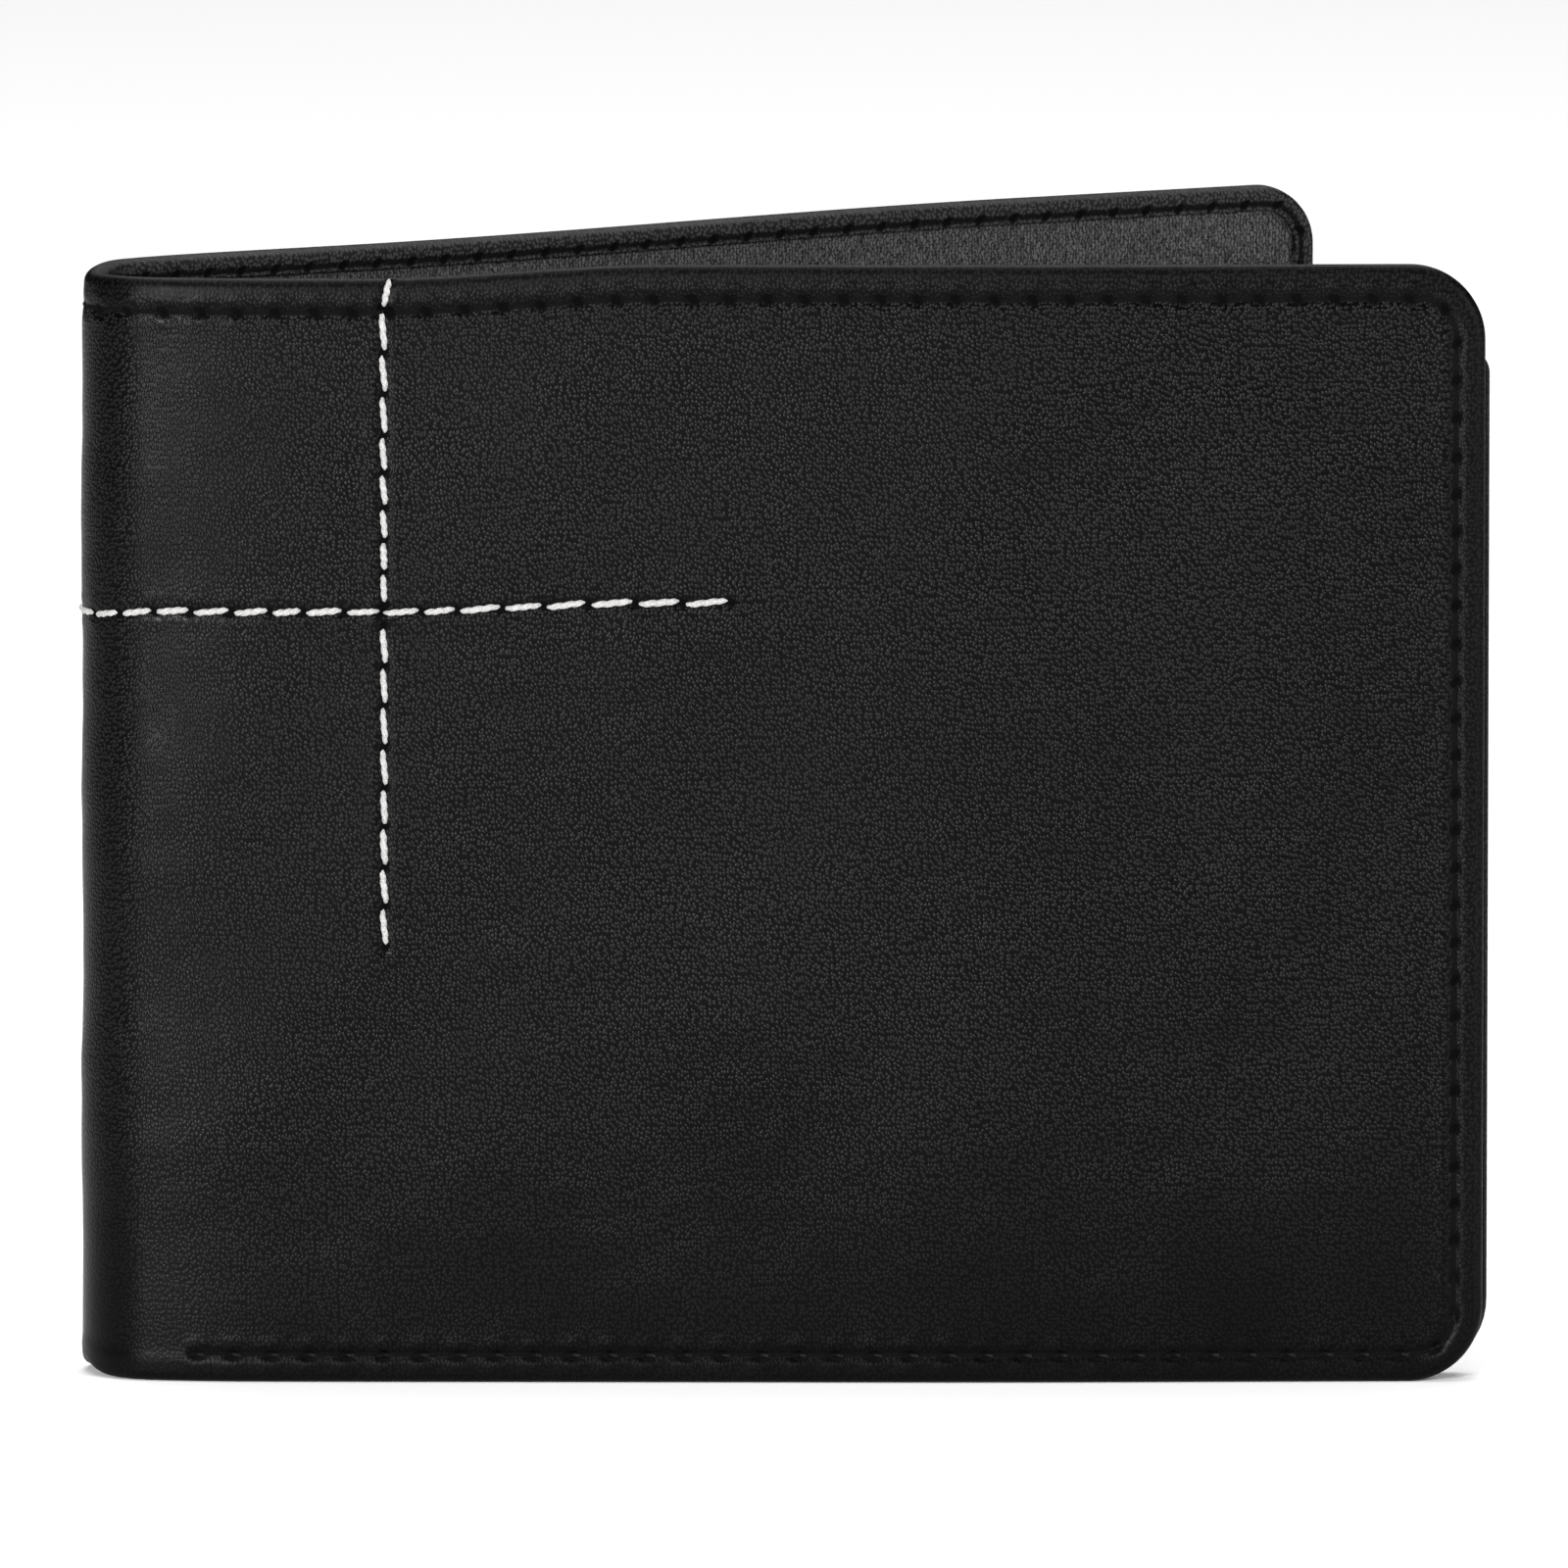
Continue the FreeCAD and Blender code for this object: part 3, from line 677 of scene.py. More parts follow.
# --- inner layers ---
CLOTH_STEP = 1.2
CLOTH_FOLD_STEP = 0.5
EDGE_LINES = np.array([0.0, 0.03, 0.12, 0.3])  # a thin layer's grid lines, in from its edge
INSET = EDGE_LINES[-1]


def between_edges(low, high, lines):
    """Lines from INSET inside low to INSET inside high, with the closer ones up to both edges."""
    return np.concatenate([low + EDGE_LINES[:-1], lines[:-1], high - EDGE_LINES[::-1]])


def plain_lines(end):
    """Grid lines of a layer that crosses the fold."""
    half = graded(0, CLOTH_FOLD_STEP, CUT, CLOTH_FOLD_STEP, FOLD_HALF + 6, CLOTH_STEP, end - INSET)
    half = np.concatenate([half[:-1], end - EDGE_LINES[::-1]])
    return np.concatenate([-half[::-1], half[1:]])


def plain_heights(low, high):
    return between_edges(low, high, graded(low + INSET, CLOTH_STEP, high - INSET))


def make_lining():
    end = COVER_END - HEM_UNDER
    front, back = FRONT_CORNER - HEM_UNDER, BACK_CORNER - HEM_UNDER
    outline = Outline(-end, end, HEM_UNDER, HEIGHT - HEM_UNDER, (front, back, back, front))

    def face(u, z, edge):
        slack = ease(edge, 2.2, 9) * (0.17 + 0.1 * uneven(u, z, 11, 9))
        return LINING.inner + np.clip(slack, 0, DIVIDER.outer - LINING.inner - 0.08)

    sheet = make_sheet(outline, plain_lines(end), plain_heights(HEM_UNDER, HEIGHT - HEM_UNDER), face,
                       [(0.0, LINING.outer + 0.1), (0.05, LINING.outer)], inward=True)
    pieces = layer("lining", sheet, "lining_fabric", "{}_lining", "spine_lining_{}")


def make_divider():
    end = FOLD_HALF + DIVIDER.end
    outline = Outline(-end, end, DIVIDER.low, DIVIDER.high, (FRONT_CORNER, BACK_CORNER, 1.0, 1.0))

    def face(u, z, edge):
        return DIVIDER.inner - 0.06 * (edge < 0.02)

    sheet = make_sheet(outline, plain_lines(end), plain_heights(DIVIDER.low, DIVIDER.high), face,
                       [(0.0, DIVIDER.outer + 0.07), (0.04, DIVIDER.outer)], inward=True)
    pieces = layer("divider", sheet, "divider_fabric", "{}_bill_divider", "spine_bill_divider_{}")


CREASE = 1.6  # creased line beside a leather leaf's mouth


def rounded_face(depth, thickness, crown=0.0, mouth=None, seams=()):
    """Leather leaf: rounded edges, a soft crown, a crease beside its mouth and the press of its seams."""
    def face(u, z, edge):
        share = np.clip(1 - edge / 0.3, 0, 1)
        made = depth - 0.45 * thickness * (1 - np.sqrt(1 - share * share))
        made += crown * ease(edge, 2, 12) * (0.6 + 0.4 * uneven(u, z, 21, 14))
        if mouth is not None:
            made -= 0.12 * bell(mouth(u, z) - CREASE, 0.22)
        for seam in seams:
            made -= sewn(seam, u, z, groove=0.13, pit=0.12)
        return made
    return face


def thin_rim(outer, thickness):
    return [(0.0, outer + 0.35 * thickness), (0.08, outer + 0.1 * thickness), (0.25, outer)]


def make_inner_wall():
    end = FOLD_HALF + WALL.end
    outline = Outline(-end, end, WALL.low, WALL.high, (FRONT_CORNER, BACK_CORNER, 2.0, 2.0))
    thickness = WALL.inner - WALL.outer
    face = rounded_face(WALL.inner, thickness, mouth=lambda u, z: WALL.high - z)
    beside_mouth = WALL.high - np.arange(0.6, 3.2, 0.2)
    heights = np.unique(np.concatenate([plain_heights(WALL.low, WALL.high), beside_mouth]))
    sheet = make_sheet(outline, plain_lines(end), heights, face, thin_rim(WALL.outer, thickness), inward=True)
    layer("inner_wall", sheet, "pocket_leather", "{}_inner_wall", "spine_inner_wall_{}")


def make_stiffener(half):
    limits = reach(f"{half.name}_stiffener", half)
    corner = (FRONT_CORNER if half is FRONT else BACK_CORNER) - HEM_UNDER
    u0, u1 = sorted((on_half(4.0, half), on_half(limits.end, half)))
    low, high = limits.low + 0.03, limits.high - 0.03
    radii = (corner, 1.0, 1.0, corner) if half is FRONT else (1.0, corner, corner, 1.0)
    outline = Outline(u0, u1, low, high, radii)
    sheet = make_sheet(outline, graded(u0, 1.5, u1), graded(low, 3.0, high),
                       lambda u, z, edge: np.full_like(u, limits.outer + 0.03),
                       [(0.0, limits.inner - 0.12), (0.1, limits.inner - 0.03)])
    leaf(f"stiffener_{half.name}", sheet, half, "stiffener_board", f"{half.name}_stiffener")


# --- pockets ---
POCKET_STEP = 0.6
POCKET_SEAM_STEP = 0.2
POCKET_BORDER = 3.3  # width of the finer grid along a pocket's edges
POCKET_SEAM = 1.5
POCKET_TOP_CORNER = 2.0
SLIP = reach("front_slip_pocket", FRONT)
CARDS = [reach(f"front_card_pocket_{number}", FRONT) for number in (1, 2, 3)]


def pocket_seams(half):
    """The seam round the card pockets' inner end, foot and open end, and the slip pocket's top seam."""
    side, inner_side = WALL.end - SIDE_SEAM, CARDS[0].start + POCKET_SEAM
    foot = WALL.low + POCKET_SEAM
    round_pockets = [(side, WALL.high - 0.6), (side, foot), (inner_side, foot),
                     (inner_side, CARDS[0].high - 0.6)]
    along_top = [(SLIP.start + 0.8, SLIP.high - POCKET_SEAM), (side - POCKET_SEAM, SLIP.high - POCKET_SEAM)]
    return [black_seam([(on_half(s, half), z) for s, z in points], seed=9, corner=corner)
            for points, corner in ((round_pockets, 3.0), (along_top, 0.0))]


POCKET_SEAMS = {half.name: pocket_seams(half) for half in (FRONT, BACK)}


def pocket_outline(limits, half):
    u0, u1 = sorted((on_half(limits.start, half), on_half(limits.end, half)))
    corner, top = (FRONT_CORNER if half is FRONT else BACK_CORNER), POCKET_TOP_CORNER
    radii = (corner, top, top, top) if half is FRONT else (top, corner, top, top)
    return Outline(u0, u1, limits.low, limits.high, radii)


def fine_lines(start, end):
    lines = graded(start + INSET, POCKET_SEAM_STEP, start + POCKET_BORDER, POCKET_STEP, end - POCKET_BORDER,
                   POCKET_SEAM_STEP, end - INSET)
    return between_edges(start, end, lines)


def make_pocket(name, half, node, mouth_at_top):
    limits = reach(node, half)
    outline = pocket_outline(limits, half)
    thickness = limits.inner - limits.outer

    def mouth(u, z):
        return limits.high - z if mouth_at_top else np.abs(u) - (FOLD_HALF + limits.start)

    face = rounded_face(limits.inner, thickness, 0.06, mouth, POCKET_SEAMS[half.name])
    sheet = make_sheet(outline, fine_lines(outline.u0, outline.u1), fine_lines(outline.z0, outline.z1), face,
                       thin_rim(limits.outer + 0.02, thickness), inward=True)
    leaf(name, sheet, half, "pocket_leather", node, sewing_marks(POCKET_SEAMS[half.name]))


def make_pockets(half, cards):
    make_pocket(f"slip_pocket_{half.name}", half, f"{half.name}_slip_pocket", mouth_at_top=False)
    for number in range(1, cards + 1):
        make_pocket(f"card_pocket_{half.name}_{number}", half, f"{half.name}_card_pocket_{number}", True)


def loop_points(outline, side_count=60, corner_count=10):
    """The outline as one loop of points, evenly spaced on each side and corner."""
    def on_arc(corner, turn):
        cu, cz, radius = corner[:3]
        return np.array([cu, cz]) + radius * np.column_stack([np.cos(turn), np.sin(turn)])

    rows = []
    centres = corners(outline)
    for k, corner in enumerate(centres):
        turn = math.pi + math.pi / 2 * (k + np.linspace(0, 1, corner_count))
        arc = on_arc(corner, turn)
        target = on_arc(centres[(k + 1) % 4], np.array([math.pi + math.pi / 2 * (k + 1)]))
        share = np.linspace(0, 1, side_count + 2)[1:-1, None]
        rows += [arc, arc[-1] + (target - arc[-1]) * share]
    return np.concatenate(rows)


WINDOW_MARGIN = 6.5
WINDOW_CORNER = 3.0


def make_window_frame():
    """Leather frame round the ID window, as a closed ring."""
    limits = reach("id_window_frame", BACK)
    film = reach("id_window_film", BACK)
    outer = pocket_outline(limits, BACK)
    hole = Outline(outer.u0 + WINDOW_MARGIN, outer.u1 - WINDOW_MARGIN, outer.z0 + WINDOW_MARGIN,
                   outer.z1 - WINDOW_MARGIN, (WINDOW_CORNER,) * 4)
    rim, opening = loop_points(outer), loop_points(hole)
    face_shares = [0.0, 0.01, 0.04, 0.12, 0.2, 0.23, 0.26, 0.3, 0.5, 0.72, 0.76, 0.8, 0.9, 0.96, 0.99, 1.0]
    behind = film.inner + 0.02
    profile = [(share, frame_depth(share, limits)) for share in face_shares]
    profile += [(1.0, behind + 0.05), (0.97, behind), (0.6, behind), (0.5, limits.outer + 0.02),
                (0.02, limits.outer + 0.02)]
    points = [np.column_stack([rim * (1 - share) + opening * share, np.full(len(rim), depth)])
              for share, depth in profile]
    index = np.arange(len(profile) * len(rim)).reshape(len(profile), len(rim))
    quads = ring_quads(index, np.roll(index, -1, 0))
    points = np.concatenate(points)
    marks = sewing_marks(POCKET_SEAMS["back"])(points)
    made = new_object("id_window_surround", points, quads.tolist(), {"pattern": points, "sewing": marks})
    ride_half(made, BACK, "pocket_leather", "id_window_frame")


def frame_depth(share, limits):
    """The frame's face: rounded at both edges, pressed in along its seam and creased beside the window."""
    rounding = 0.25 * bell(share, 0.02) + 0.25 * bell(1 - share, 0.02)
    return limits.inner - rounding - 0.12 * bell(share - 0.23, 0.03) - 0.08 * bell(share - 0.76, 0.03)


def make_window_film():
    limits = reach("id_window_film", BACK)
    u0, u1 = on_half(limits.start, BACK), on_half(limits.end, BACK)
    outline = Outline(u0, u1, limits.low, limits.high, (1.0,) * 4)
    sheet = make_sheet(outline, graded(u0, 1.5, u1), graded(limits.low, 1.5, limits.high),
                       lambda u, z, edge: limits.inner - 0.02 + 0.02 * uneven(u, z, 31, 18),
                       [(0.0, limits.outer + 0.02), (0.05, limits.outer)], inward=True)
    leaf("id_window_clear", sheet, BACK, "clear_film", "id_window_film")


# --- thread ---
Thread = namedtuple("Thread", "slot width gap height slant turns rings sides")
BLACK = Thread("black_thread", width=0.42, gap=0.75, height=-0.1, slant=0.1, turns=1.2, rings=9, sides=8)
WHITE = Thread("white_thread", width=0.5, gap=0.26, height=0.12, slant=0.09, turns=1.15, rings=22, sides=15)
PLIES = 3


def one_stitch(thread, length, draws):
    """Twisted thread between two holes, as (along, across, up) from its middle; its ends dive into them."""
    t = np.linspace(-1, 1, thread.rings)[:, None]
    angle = np.linspace(0, 2 * math.pi, thread.sides, endpoint=False)[None, :]
    twist = draws.uniform(0, 2 * math.pi) + thread.turns * math.pi * t
    lobes = 1 + 0.17 * np.cos(PLIES * (angle - twist))
    taper = np.clip(1 - np.abs(t) ** 5 * 0.72, 0.05, 1) * draws.uniform(0.93, 1.06)
    radius = thread.width / 2 * taper * lobes
    belly = thread.height * (1 - t ** 2) - 0.34 * np.abs(t) ** 7
    sway = 0.03 * draws.uniform(-1, 1) * (1 - t ** 2)
    across, up = radius * np.cos(angle) + sway, 0.8 * radius * np.sin(angle) + belly
    return np.stack(np.broadcast_arrays(length / 2 * t, across, up), -1)


def tube_quads(rings, sides):
    index = np.arange(rings * sides).reshape(rings, sides)
    return ring_quads(index[:-1], index[1:]).tolist() + [index[0, ::-1].tolist(), index[-1].tolist()]


def stitches(seam, thread, surface, side, seed):
    """Flat points of each stitch on a seam. surface(u, z) is the leather's depth; side is -1 outside and 1
    inside."""
    draws = np.random.RandomState(seed)
    made = []
    starts, ends = seam.holes[:-1], seam.holes[1:]
    middles, headings = seam.at((starts + ends) / 2)
    depths = surface(middles[:, 0], middles[:, 1])
    for start, end, middle, heading, depth in zip(starts, ends, middles, headings, depths):
        shape = one_stitch(thread, end - start - thread.gap * draws.uniform(0.8, 1.2), draws)
        heading = heading + side * thread.slant * draws.uniform(0.6, 1.5)
        along, across, up = shape[..., 0], shape[..., 1], shape[..., 2]
        u = middle[0] + along * math.cos(heading) - across * math.sin(heading)
        z = middle[1] + along * math.sin(heading) + across * math.cos(heading)
        made.append(np.stack([u, z, depth + side * up], -1).reshape(-1, 3))
    return made


def thread_object(name, runs, thread):
    """All stitches of a piece as one mesh of separate closed stitches."""
    quads = tube_quads(thread.rings, thread.sides)
    size = thread.rings * thread.sides
    faces = [tuple(corner + k * size for corner in face) for k in range(len(runs)) for face in quads]
    points = np.concatenate(runs)
    return new_object(name, points, faces, {"pattern": points})


def in_region(runs, region):
    return [run for run in runs if region.low < run[:, 0].mean() <= region.high]


def thread_layer(name, runs, thread, half_nodes, spine_node):
    """Stitches along a seam that crosses the fold."""
    def make(title, region):
        return thread_object(title, in_region(runs, region), thread)
    across_fold(name, make, thread.slot, half_nodes, spine_node)


def cover_surface(u, z):
    outline = Outline(-COVER_END, COVER_END, 0.0, HEIGHT, (FRONT_CORNER,) * 4)
    return cover_face(u, z, np.maximum(from_edge(u, z, outline), 0.3))


def make_edge_thread():
    """Black thread round the covers: outside, and inside along the top hem and down to the inner wall."""
    outside = stitches(EDGE_SEAM, BLACK, cover_surface, -1, 41)
    inside = stitches(HEM_SEAM_LINE, BLACK, lambda u, z: np.full(u.shape, COVER.inner - 0.12), 1, 43)
    for name, runs in (("edge", outside), ("hem", inside)):
        thread_layer(f"{name}_thread", runs, BLACK, on_both(f"{{}}_{name}_stitching"),
                     "spine_edge_stitching_{}")


def make_white_thread():
    row, column = ([run for k, seam in enumerate(seams)
                    for run in stitches(seam, WHITE, cover_surface, -1, seed + k)]
                   for seams, seed in ((ROW_SEAMS, 51), (COLUMN_SEAMS, 53)))
    half_nodes = {"front": "white_stitching_row", "back": "white_stitching_back"}
    thread_layer("white_row", row, WHITE, half_nodes, "spine_white_stitching_{}")
    ride_half(thread_object("white_column", column, WHITE), FRONT, WHITE.slot, "white_stitching_column")


def pocket_surface(window_depth):
    """Depth of the innermost leaf on a half's pocket side. window_depth is that of the lowest leaf."""
    def surface(u, z):
        s = np.abs(u) - FOLD_HALF
        depth = np.where((z < SLIP.high) & (s > SLIP.start), SLIP.inner, WALL.inner)
        for limits in CARDS[:2]:
            depth = np.where((z < limits.high) & (s > limits.start), limits.inner, depth)
        return np.where((z < CARDS[2].high) & (s > CARDS[2].start), window_depth, depth) - 0.1
    return surface


def make_pocket_thread(half, window_depth):
    runs = []
    for number, seam in enumerate(POCKET_SEAMS[half.name]):
        runs += stitches(seam, BLACK, pocket_surface(window_depth), 1, 61 + number)
    ride_half(thread_object(f"pocket_thread_{half.name}", runs, BLACK), half, BLACK.slot,
              f"{half.name}_pocket_stitching")


# --- materials ---
class Shader:
    """A material under construction. Positions come from the pattern attribute, in millimetres."""

    def __init__(self, name, **sockets):
        self.material = bpy.data.materials.new(name)
        self.material.use_nodes = True
        self.tree = self.material.node_tree
        self.surface = self.tree.nodes["Principled BSDF"]
        for socket, value in sockets.items():
            self.feed(self.surface.inputs[socket.replace("_", " ")], value)

    def feed(self, socket, value):
        if isinstance(value, bpy.types.NodeSocket):
            self.tree.links.new(value, socket)
        else:
            socket.default_value = value

    def node(self, kind, inputs, **settings):
        made = self.tree.nodes.new(kind)
        for key, value in settings.items():
            setattr(made, key, value)
        for key, value in inputs.items():
            self.feed(made.inputs[key], value)
        return made

    def attribute(self, name):
        return self.node("ShaderNodeAttribute", {}, attribute_name=name).outputs["Vector"]

    def math(self, operation, first, second=0.0):
        return self.node("ShaderNodeMath", {0: first, 1: second}, operation=operation).outputs[0]

    def plus(self, first, second):
        return self.math("ADD", first, second)

    def minus(self, first, second):
        return self.math("SUBTRACT", first, second)

    def times(self, first, second):
        return self.math("MULTIPLY", first, second)

    def vector(self, operation, first, second):
        return self.node("ShaderNodeVectorMath", {0: first, 1: second}, operation=operation).outputs[0]

    def split(self, vector):
        return self.node("ShaderNodeSeparateXYZ", {"Vector": vector}).outputs

    def noise(self, vector, scale, detail=2.0, roughness=0.5):
        return self.node("ShaderNodeTexNoise", {"Vector": vector, "Scale": scale, "Detail": detail,
                                                "Roughness": roughness}).outputs

    def wander(self, vector, scale, reach):
        """Positions that sway by up to half of reach each way."""
        sway = self.vector("SUBTRACT", self.noise(vector, scale)["Color"], (0.5, 0.5, 0.5))
        return self.vector("ADD", vector, self.vector("MULTIPLY", sway, reach))

    def cells(self, vector, scale):
        """Distance from the middle of the nearest cell."""
        return self.node("ShaderNodeTexVoronoi", {"Vector": vector, "Scale": scale, "Randomness": 0.8},
                         voronoi_dimensions="2D", feature="F1").outputs["Distance"]

    def hypotenuse(self, first, second):
        return self.math("SQRT", self.plus(self.times(first, first), self.times(second, second)))

    def spread(self, value, low, high, to_low=0.0, to_high=1.0):
        return self.node("ShaderNodeMapRange", {"Value": value, "From Min": low, "From Max": high,
                                                "To Min": to_low, "To Max": to_high},
                         interpolation_type="SMOOTHSTEP").outputs["Result"]

    def colours(self, share, dark, light):
        ramp = self.node("ShaderNodeValToRGB", {"Fac": share})
        ramp.color_ramp.elements[0].color = (*dark, 1)
        ramp.color_ramp.elements[1].color = (*light, 1)
        return ramp.outputs["Color"]

    def mix(self, share, first, second):
        return self.node("ShaderNodeMix", {"Factor": share, "A": first, "B": second},
                         data_type="RGBA").outputs["Result"]

    def base(self, colour):
        self.feed(self.surface.inputs["Base Color"], colour)

    def roughness(self, value):
        self.feed(self.surface.inputs["Roughness"], value)

    def bump(self, height, relief):
        """Raises the surface by height times relief, which is in millimetres."""
        made = self.node("ShaderNodeBump", {"Height": height, "Strength": 1.0, "Distance": relief * MM})
        self.feed(self.surface.inputs["Normal"], made.outputs["Normal"])


def grey(value, warmth=0.0):
    return (value * (1 + warmth), value, value * (1 - warmth))


def grain(shader, flat, cell):
    """Height of pebbles a little taller than wide, whose rows wander."""
    stretched = shader.vector("MULTIPLY", shader.wander(flat, 0.35, (0.8, 0.5, 0)), (1.0, 0.8, 1.0))
    ragged = shader.times(shader.noise(stretched, 0.8 / cell, 1.0)["Fac"], 0.3)
    return shader.spread(shader.plus(shader.cells(stretched, 1 / cell), ragged), 0.28, 0.7, 1.0, 0.0)


def open_leather(shader, stitch, across, up):
    """Mask of painted shade: 0 in the slanted stitch holes, low along the seam's groove and 1 elsewhere. The
    holes' painted shade fades towards the foot.
    """
    from_hole = shader.minus(shader.math("FRACT", shader.plus(stitch, 0.5)), 0.5)
    from_hole = shader.times(from_hole, BLACK_PITCH)
    slanted = shader.hypotenuse(shader.times(shader.plus(from_hole, across), 0.55),
                                shader.minus(from_hole, across))
    # painted shade along the seam's groove
    groove_shade = shader.spread(shader.math("ABSOLUTE", across), 0.12, 0.4, 0.25, 1.0)
    beside = shader.times(shader.spread(slanted, 0.3, 0.62), groove_shade)
    return shader.math("MAXIMUM", beside, shader.spread(up, 2, 16, 0.5, 0.0))


PEBBLE_MEAN = 0.42  # height at which a pebble gets neither painted highlight nor painted shade
# near-black painted shade in the stitch holes
PAINTED_HOLE_SHADE = (0.0005, 0.0005, 0.0005, 1)


def leather(name, dark, light, roughness, cell, relief, specular):
    """Grained leather, softer towards the foot, towards its edges and in patches. Its colour carries painted
    shade towards the foot, in the stitch holes and along the seams, painted highlights and shade on the
    pebbles, and a painted highlight on the inside hem.
    """
    shader = Shader(name, Specular_IOR_Level=specular)
    flat = shader.attribute("pattern")
    up = shader.split(flat)["Y"]
    stitch, across, edge = shader.split(shader.attribute("sewing"))
    hem = shader.spread(edge, -6.0, -2.0, 1.0, 0.0)
    edge = shader.math("ABSOLUTE", edge)
    pebbles = grain(shader, flat, cell)
    seam_unshaded = open_leather(shader, stitch, across, up)
    patches = shader.noise(flat, 0.07, 3.0)["Fac"]
    softness = shader.plus(shader.spread(up, 2, 30, 0.35, 1.0),
                           shader.spread(patches, 0.35, 0.7, -0.12, 0.12))

    clouds = shader.noise(flat, 0.045, 4.0, 0.6)["Fac"]
    # painted highlight on the pebbles' tops and painted shade in their hollows
    grain_light_and_shade = shader.times(softness, shader.minus(pebbles, PEBBLE_MEAN))
    grain_light_and_shade = shader.times(grain_light_and_shade, shader.spread(edge, 0.4, 3.4, 0.5, 1.0))
    # painted shade in a band along the edge seam's groove, 1.2 to 3 mm in from the edge
    seam_band_shade = shader.times(shader.spread(edge, 1.2, 2.0), shader.spread(edge, 2.4, 3.0, 1.0, 0.0))
    tone = shader.plus(shader.spread(clouds, 0.3, 0.7, 0.08, 0.28), shader.times(grain_light_and_shade, 1.3))
    # painted shade: the leather is coloured darker towards the foot, where less light reaches it
    tone = shader.plus(tone, shader.spread(up, 1, 16, -0.14, 0.0))
    tone = shader.minus(tone, shader.times(seam_band_shade, 0.25))
    # painted highlight: the inside hem is coloured lighter for the light it catches, its pebbles' tops
    # lighter still
    lit_hem = shader.colours(pebbles, grey(0.6 * light), grey(4 * light))
    shade = shader.mix(hem, shader.colours(tone, grey(dark), grey(light)), lit_hem)
    # painted shade in the stitch holes and along the seams' grooves
    shader.base(shader.mix(seam_unshaded, PAINTED_HOLE_SHADE, shade))

    rough = shader.plus(shader.spread(patches, 0.3, 0.7, roughness - 0.03, roughness + 0.03),
                        shader.times(pebbles, 0.06))
    rough = shader.plus(rough, shader.spread(edge, 0.2, 2.6, 0.14, 0.0))
    rough = shader.plus(rough, shader.times(hem, 0.2))
    shader.roughness(shader.plus(rough, shader.spread(seam_unshaded, 0.0, 0.7, 0.6, 0.0)))
    height = shader.times(shader.times(pebbles, softness), shader.spread(edge, 0.4, 3.0, 0.35, 1.0))
    shader.bump(height, relief)
    return shader.material


def knit(name, dark, light):
    """Lining: columns of small upright loops, staggered."""
    shader = Shader(name, Roughness=0.8, Specular_IOR_Level=0.2)
    flat = shader.attribute("pattern")
    across, up, _ = shader.split(shader.wander(flat, 2.0, (0.7, 0.7, 0)))
    sideways = shader.node("ShaderNodeCombineXYZ", {"X": up, "Y": across}).outputs["Vector"]
    loops = shader.node("ShaderNodeTexBrick", {"Vector": sideways, "Scale": 1.0, "Mortar Size": 0.1,
                                               "Mortar Smooth": 1.0, "Brick Width": 0.62, "Row Height": 0.3,
                                               "Color1": (1, 1, 1, 1), "Color2": (0.5, 0.5, 0.5, 1),
                                               "Mortar": (0, 0, 0, 1)}).outputs["Color"]
    speckle = shader.noise(shader.vector("MULTIPLY", flat, (1.0, 0.45, 1.0)), 3.2, 2.0)["Fac"]
    height = shader.plus(shader.times(loops, 0.5), shader.times(speckle, 0.6))
    shader.base(shader.colours(shader.spread(height, 0.25, 0.85), grey(dark), grey(light)))
    shader.bump(height, 0.05)
    return shader.material


def weave(name, dark, light, pitch=0.32):
    """Plain woven cloth."""
    shader = Shader(name, Roughness=0.75, Specular_IOR_Level=0.2)
    u, z, _ = shader.split(shader.attribute("pattern"))
    warp, weft = (shader.math("SINE", shader.times(side, 2 * math.pi / pitch)) for side in (u, z))
    height = shader.spread(shader.times(warp, weft), -1.0, 1.0)
    shader.base(shader.colours(height, grey(dark), grey(light)))
    shader.bump(height, 0.04)
    return shader.material


def spun(name, dark, light, roughness, sheen, specular):
    """Thread: fine fibres over the twisted plies, which are in its mesh."""
    shader = Shader(name, Roughness=roughness, Specular_IOR_Level=specular, Sheen_Weight=sheen,
                    Sheen_Roughness=0.5)
    flat = shader.attribute("pattern")
    fibres = shader.noise(shader.vector("MULTIPLY", flat, (1.0, 1.6, 1.0)), 9.0, 3.0)["Fac"]
    shader.base(shader.colours(shader.spread(fibres, 0.3, 0.7), grey(dark, 0.02), grey(light, 0.01)))
    shader.bump(fibres, 0.04)
    return shader.material


def board(name):
    """Stiffener: grey pressed board."""
    shader = Shader(name, Roughness=0.9)
    specks = shader.noise(shader.attribute("pattern"), 1.5, 4.0)["Fac"]
    shader.base(shader.colours(specks, grey(0.2, 0.1), grey(0.35, 0.1)))
    shader.bump(specks, 0.05)
    return shader.material


def film(name):
    """Clear plastic of the ID window, with a faint haze."""
    shader = Shader(name, Base_Color=(0.8, 0.82, 0.84, 1), Alpha=0.12, IOR=1.5)
    haze = shader.noise(shader.attribute("pattern"), 0.15, 4.0)["Fac"]
    shader.roughness(shader.spread(haze, 0.3, 0.8, 0.06, 0.22))
    shader.bump(haze, 0.04)
    return shader.material


MATERIALS = {
    "cover_leather": leather("cover leather", dark=0.0003, light=0.0070, roughness=0.31, cell=0.3,
                             relief=0.03, specular=0.06),
    "pocket_leather": leather("pocket leather", dark=0.0005, light=0.011, roughness=0.38, cell=0.28,
                              relief=0.025, specular=0.12),
    "lining_fabric": knit("lining", dark=0.001, light=0.058),
    "divider_fabric": weave("divider cloth", dark=0.01, light=0.03),
    "black_thread": spun("black thread", dark=0.001, light=0.003, roughness=0.85, sheen=0.0, specular=0.05),
    "white_thread": spun("white thread", dark=0.19, light=0.42, roughness=0.75, sheen=0.08, specular=0.2),
    "stiffener_board": board("board"),
    "clear_film": film("clear film"),
}


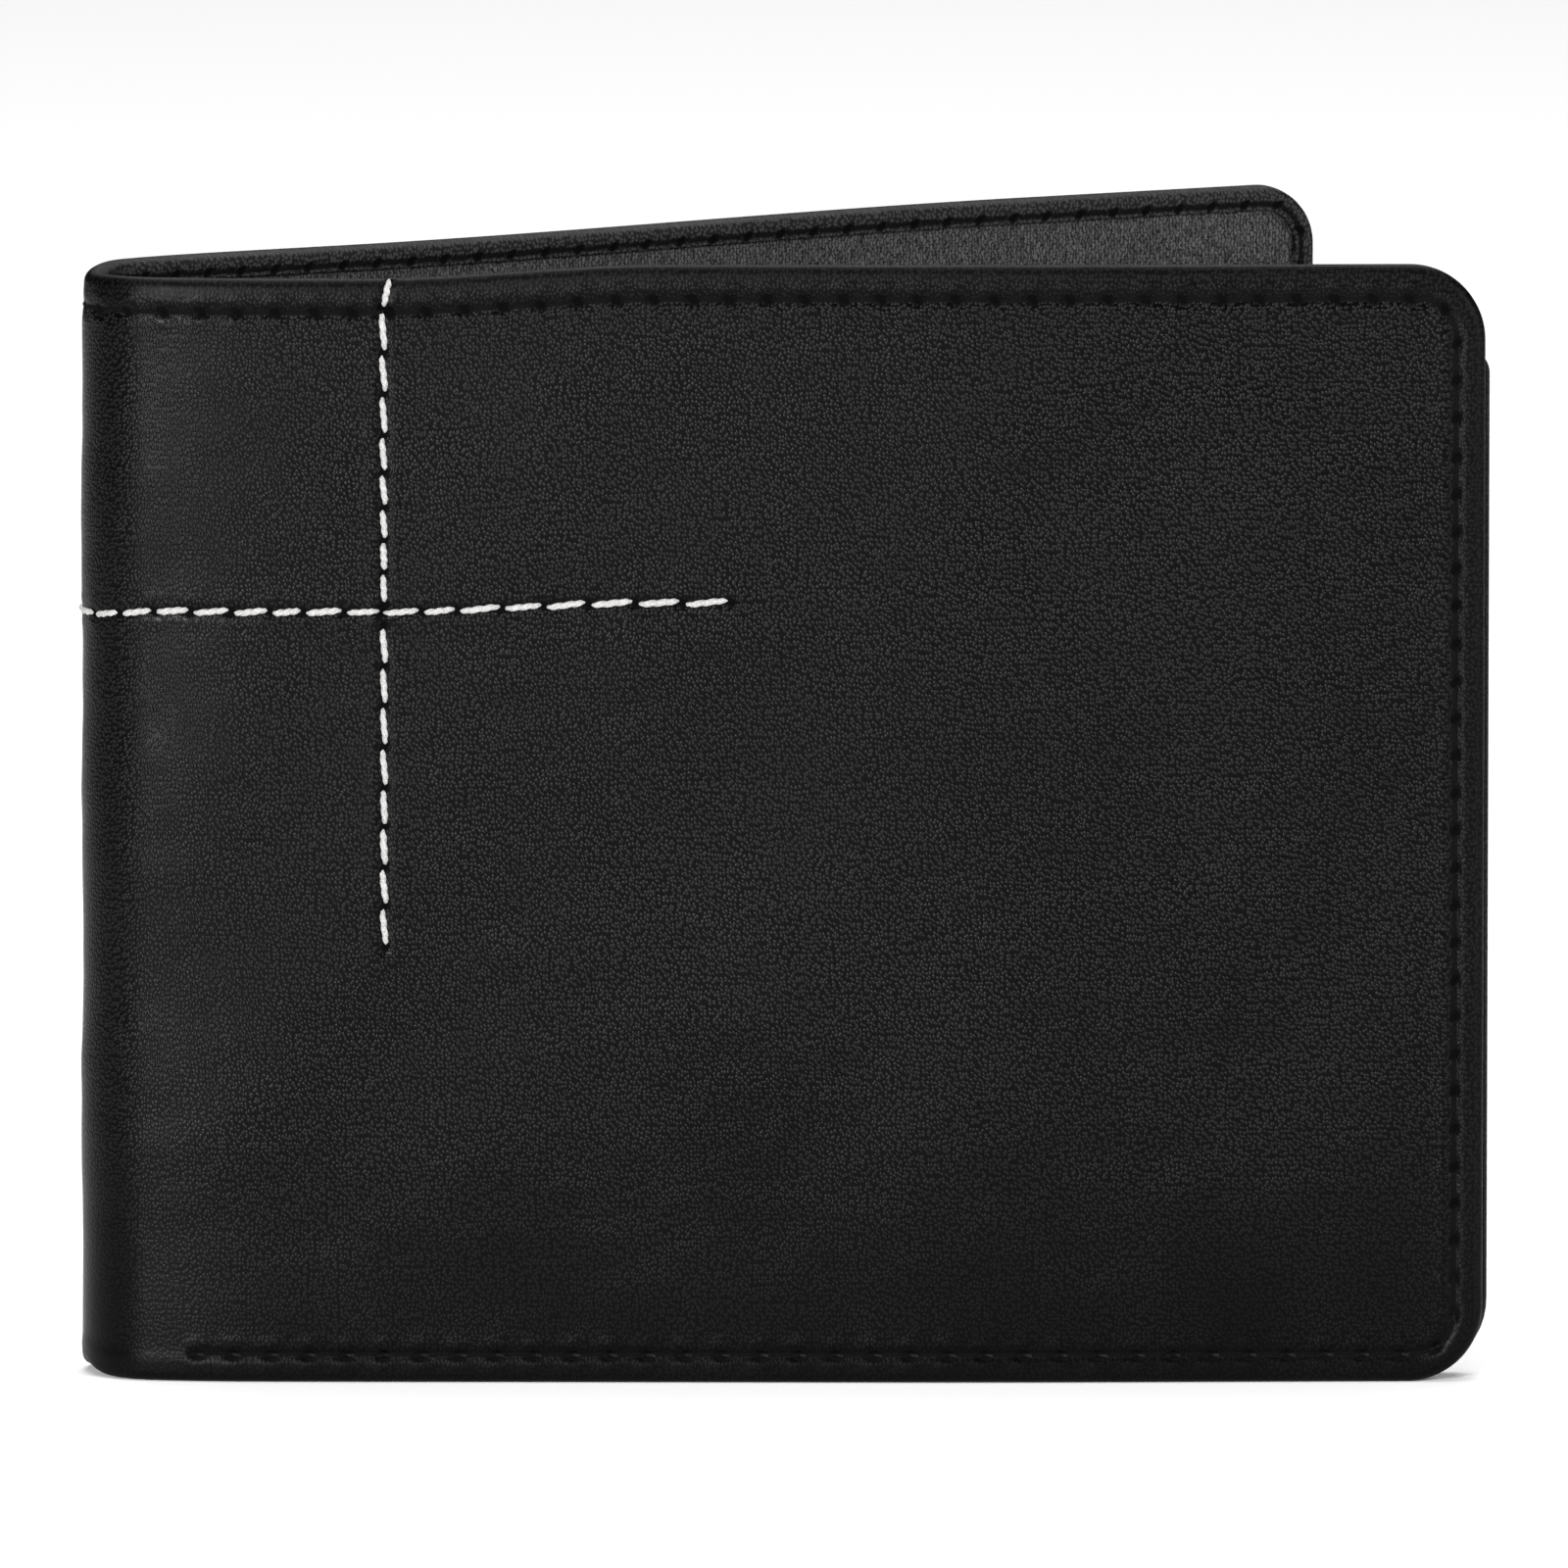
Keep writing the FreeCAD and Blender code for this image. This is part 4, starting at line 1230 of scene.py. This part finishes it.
# --- setting ---
VIEW_DISTANCE = 2.25
VIEW_ELEVATION = 7.8
VIEW_AZIMUTH = 0.45
VIEW_LENS = 633.5
VIEW_TARGET = Vector((0.0001, FRONT.hinge[1] * MM, 0.0495))
WORLD_STRENGTH = 0.02
SOFTBOXES = (  # name, azimuth, elevation, distance, width, height, power
    ("key", -24, 12, 0.9, 0.14, 0.36, 13.0),
    ("right", 52, 18, 0.9, 0.3, 0.5, 6.0),
    ("overhead", 0, 88, 1.3, 1.4, 1.4, 15.0),
    ("hind", 180, 52, 1.8, 1.0, 1.4, 17.0),
)
FLOOR_SIZE = 12.0
FLOOR_CELLS = 4


def from_front(azimuth, elevation, distance):
    """A place round the target. Azimuth 0 is in front and positive to the right."""
    a, e = math.radians(azimuth), math.radians(elevation)
    direction = Vector((math.sin(a) * math.cos(e), -math.cos(a) * math.cos(e), math.sin(e)))
    return VIEW_TARGET + distance * direction


def stand(name, data, azimuth, elevation, distance):
    """A camera or light that looks at the target."""
    made = add(name, data)
    made.location = from_front(azimuth, elevation, distance)
    made.rotation_euler = (VIEW_TARGET - made.location).to_track_quat("-Z", "Y").to_euler()
    return made


def make_camera():
    data = bpy.data.cameras.new("camera")
    data.lens, data.sensor_width = VIEW_LENS, 36.0
    data.clip_end = 50.0
    bpy.context.scene.camera = stand("camera", data, VIEW_AZIMUTH, VIEW_ELEVATION, VIEW_DISTANCE)


def make_softbox(name, azimuth, elevation, distance, width, height, power):
    data = bpy.data.lights.new(name, "AREA")
    data.shape, data.size, data.size_y, data.energy = "RECTANGLE", width, height, power
    stand(name, data, azimuth, elevation, distance)


def make_floor():
    """Pale matt floor, faintly mottled."""
    lines = np.linspace(-FLOOR_SIZE / 2, FLOOR_SIZE / 2, FLOOR_CELLS + 1)
    points = [(x, y, 0.0) for y in lines for x in lines]
    index = np.arange(len(points)).reshape(len(lines), -1)
    faces = grid_quads(index).tolist()
    mesh = bpy.data.meshes.new("floor")
    mesh.from_pydata(points, [], faces)
    shader = Shader("floor", Roughness=0.8, Specular_IOR_Level=0.1)
    coordinates = shader.node("ShaderNodeTexCoord", {}).outputs["Object"]
    shader.base(shader.colours(shader.noise(coordinates, 3.0)["Fac"], grey(0.95), grey(0.97)))
    mesh.materials.append(shader.material)
    add("floor", mesh)


def make_world():
    world = bpy.data.worlds.new("world")
    world.use_nodes = True
    background = world.node_tree.nodes["Background"]
    background.inputs["Color"].default_value = (1, 1, 1, 1)
    background.inputs["Strength"].default_value = WORLD_STRENGTH
    bpy.context.scene.world = world


make_camera()
make_floor()
make_world()
for softbox in SOFTBOXES:
    make_softbox(*softbox)
bpy.context.scene.view_settings.view_transform = "Standard"

make_cover()
make_lining()
make_divider()
make_inner_wall()
for side in (FRONT, BACK):
    make_stiffener(side)
make_pockets(FRONT, 3)
make_pockets(BACK, 2)
make_window_frame()
make_window_film()
make_edge_thread()
make_white_thread()
make_pocket_thread(FRONT, CARDS[2].inner)
make_pocket_thread(BACK, reach("id_window_frame", BACK).inner)
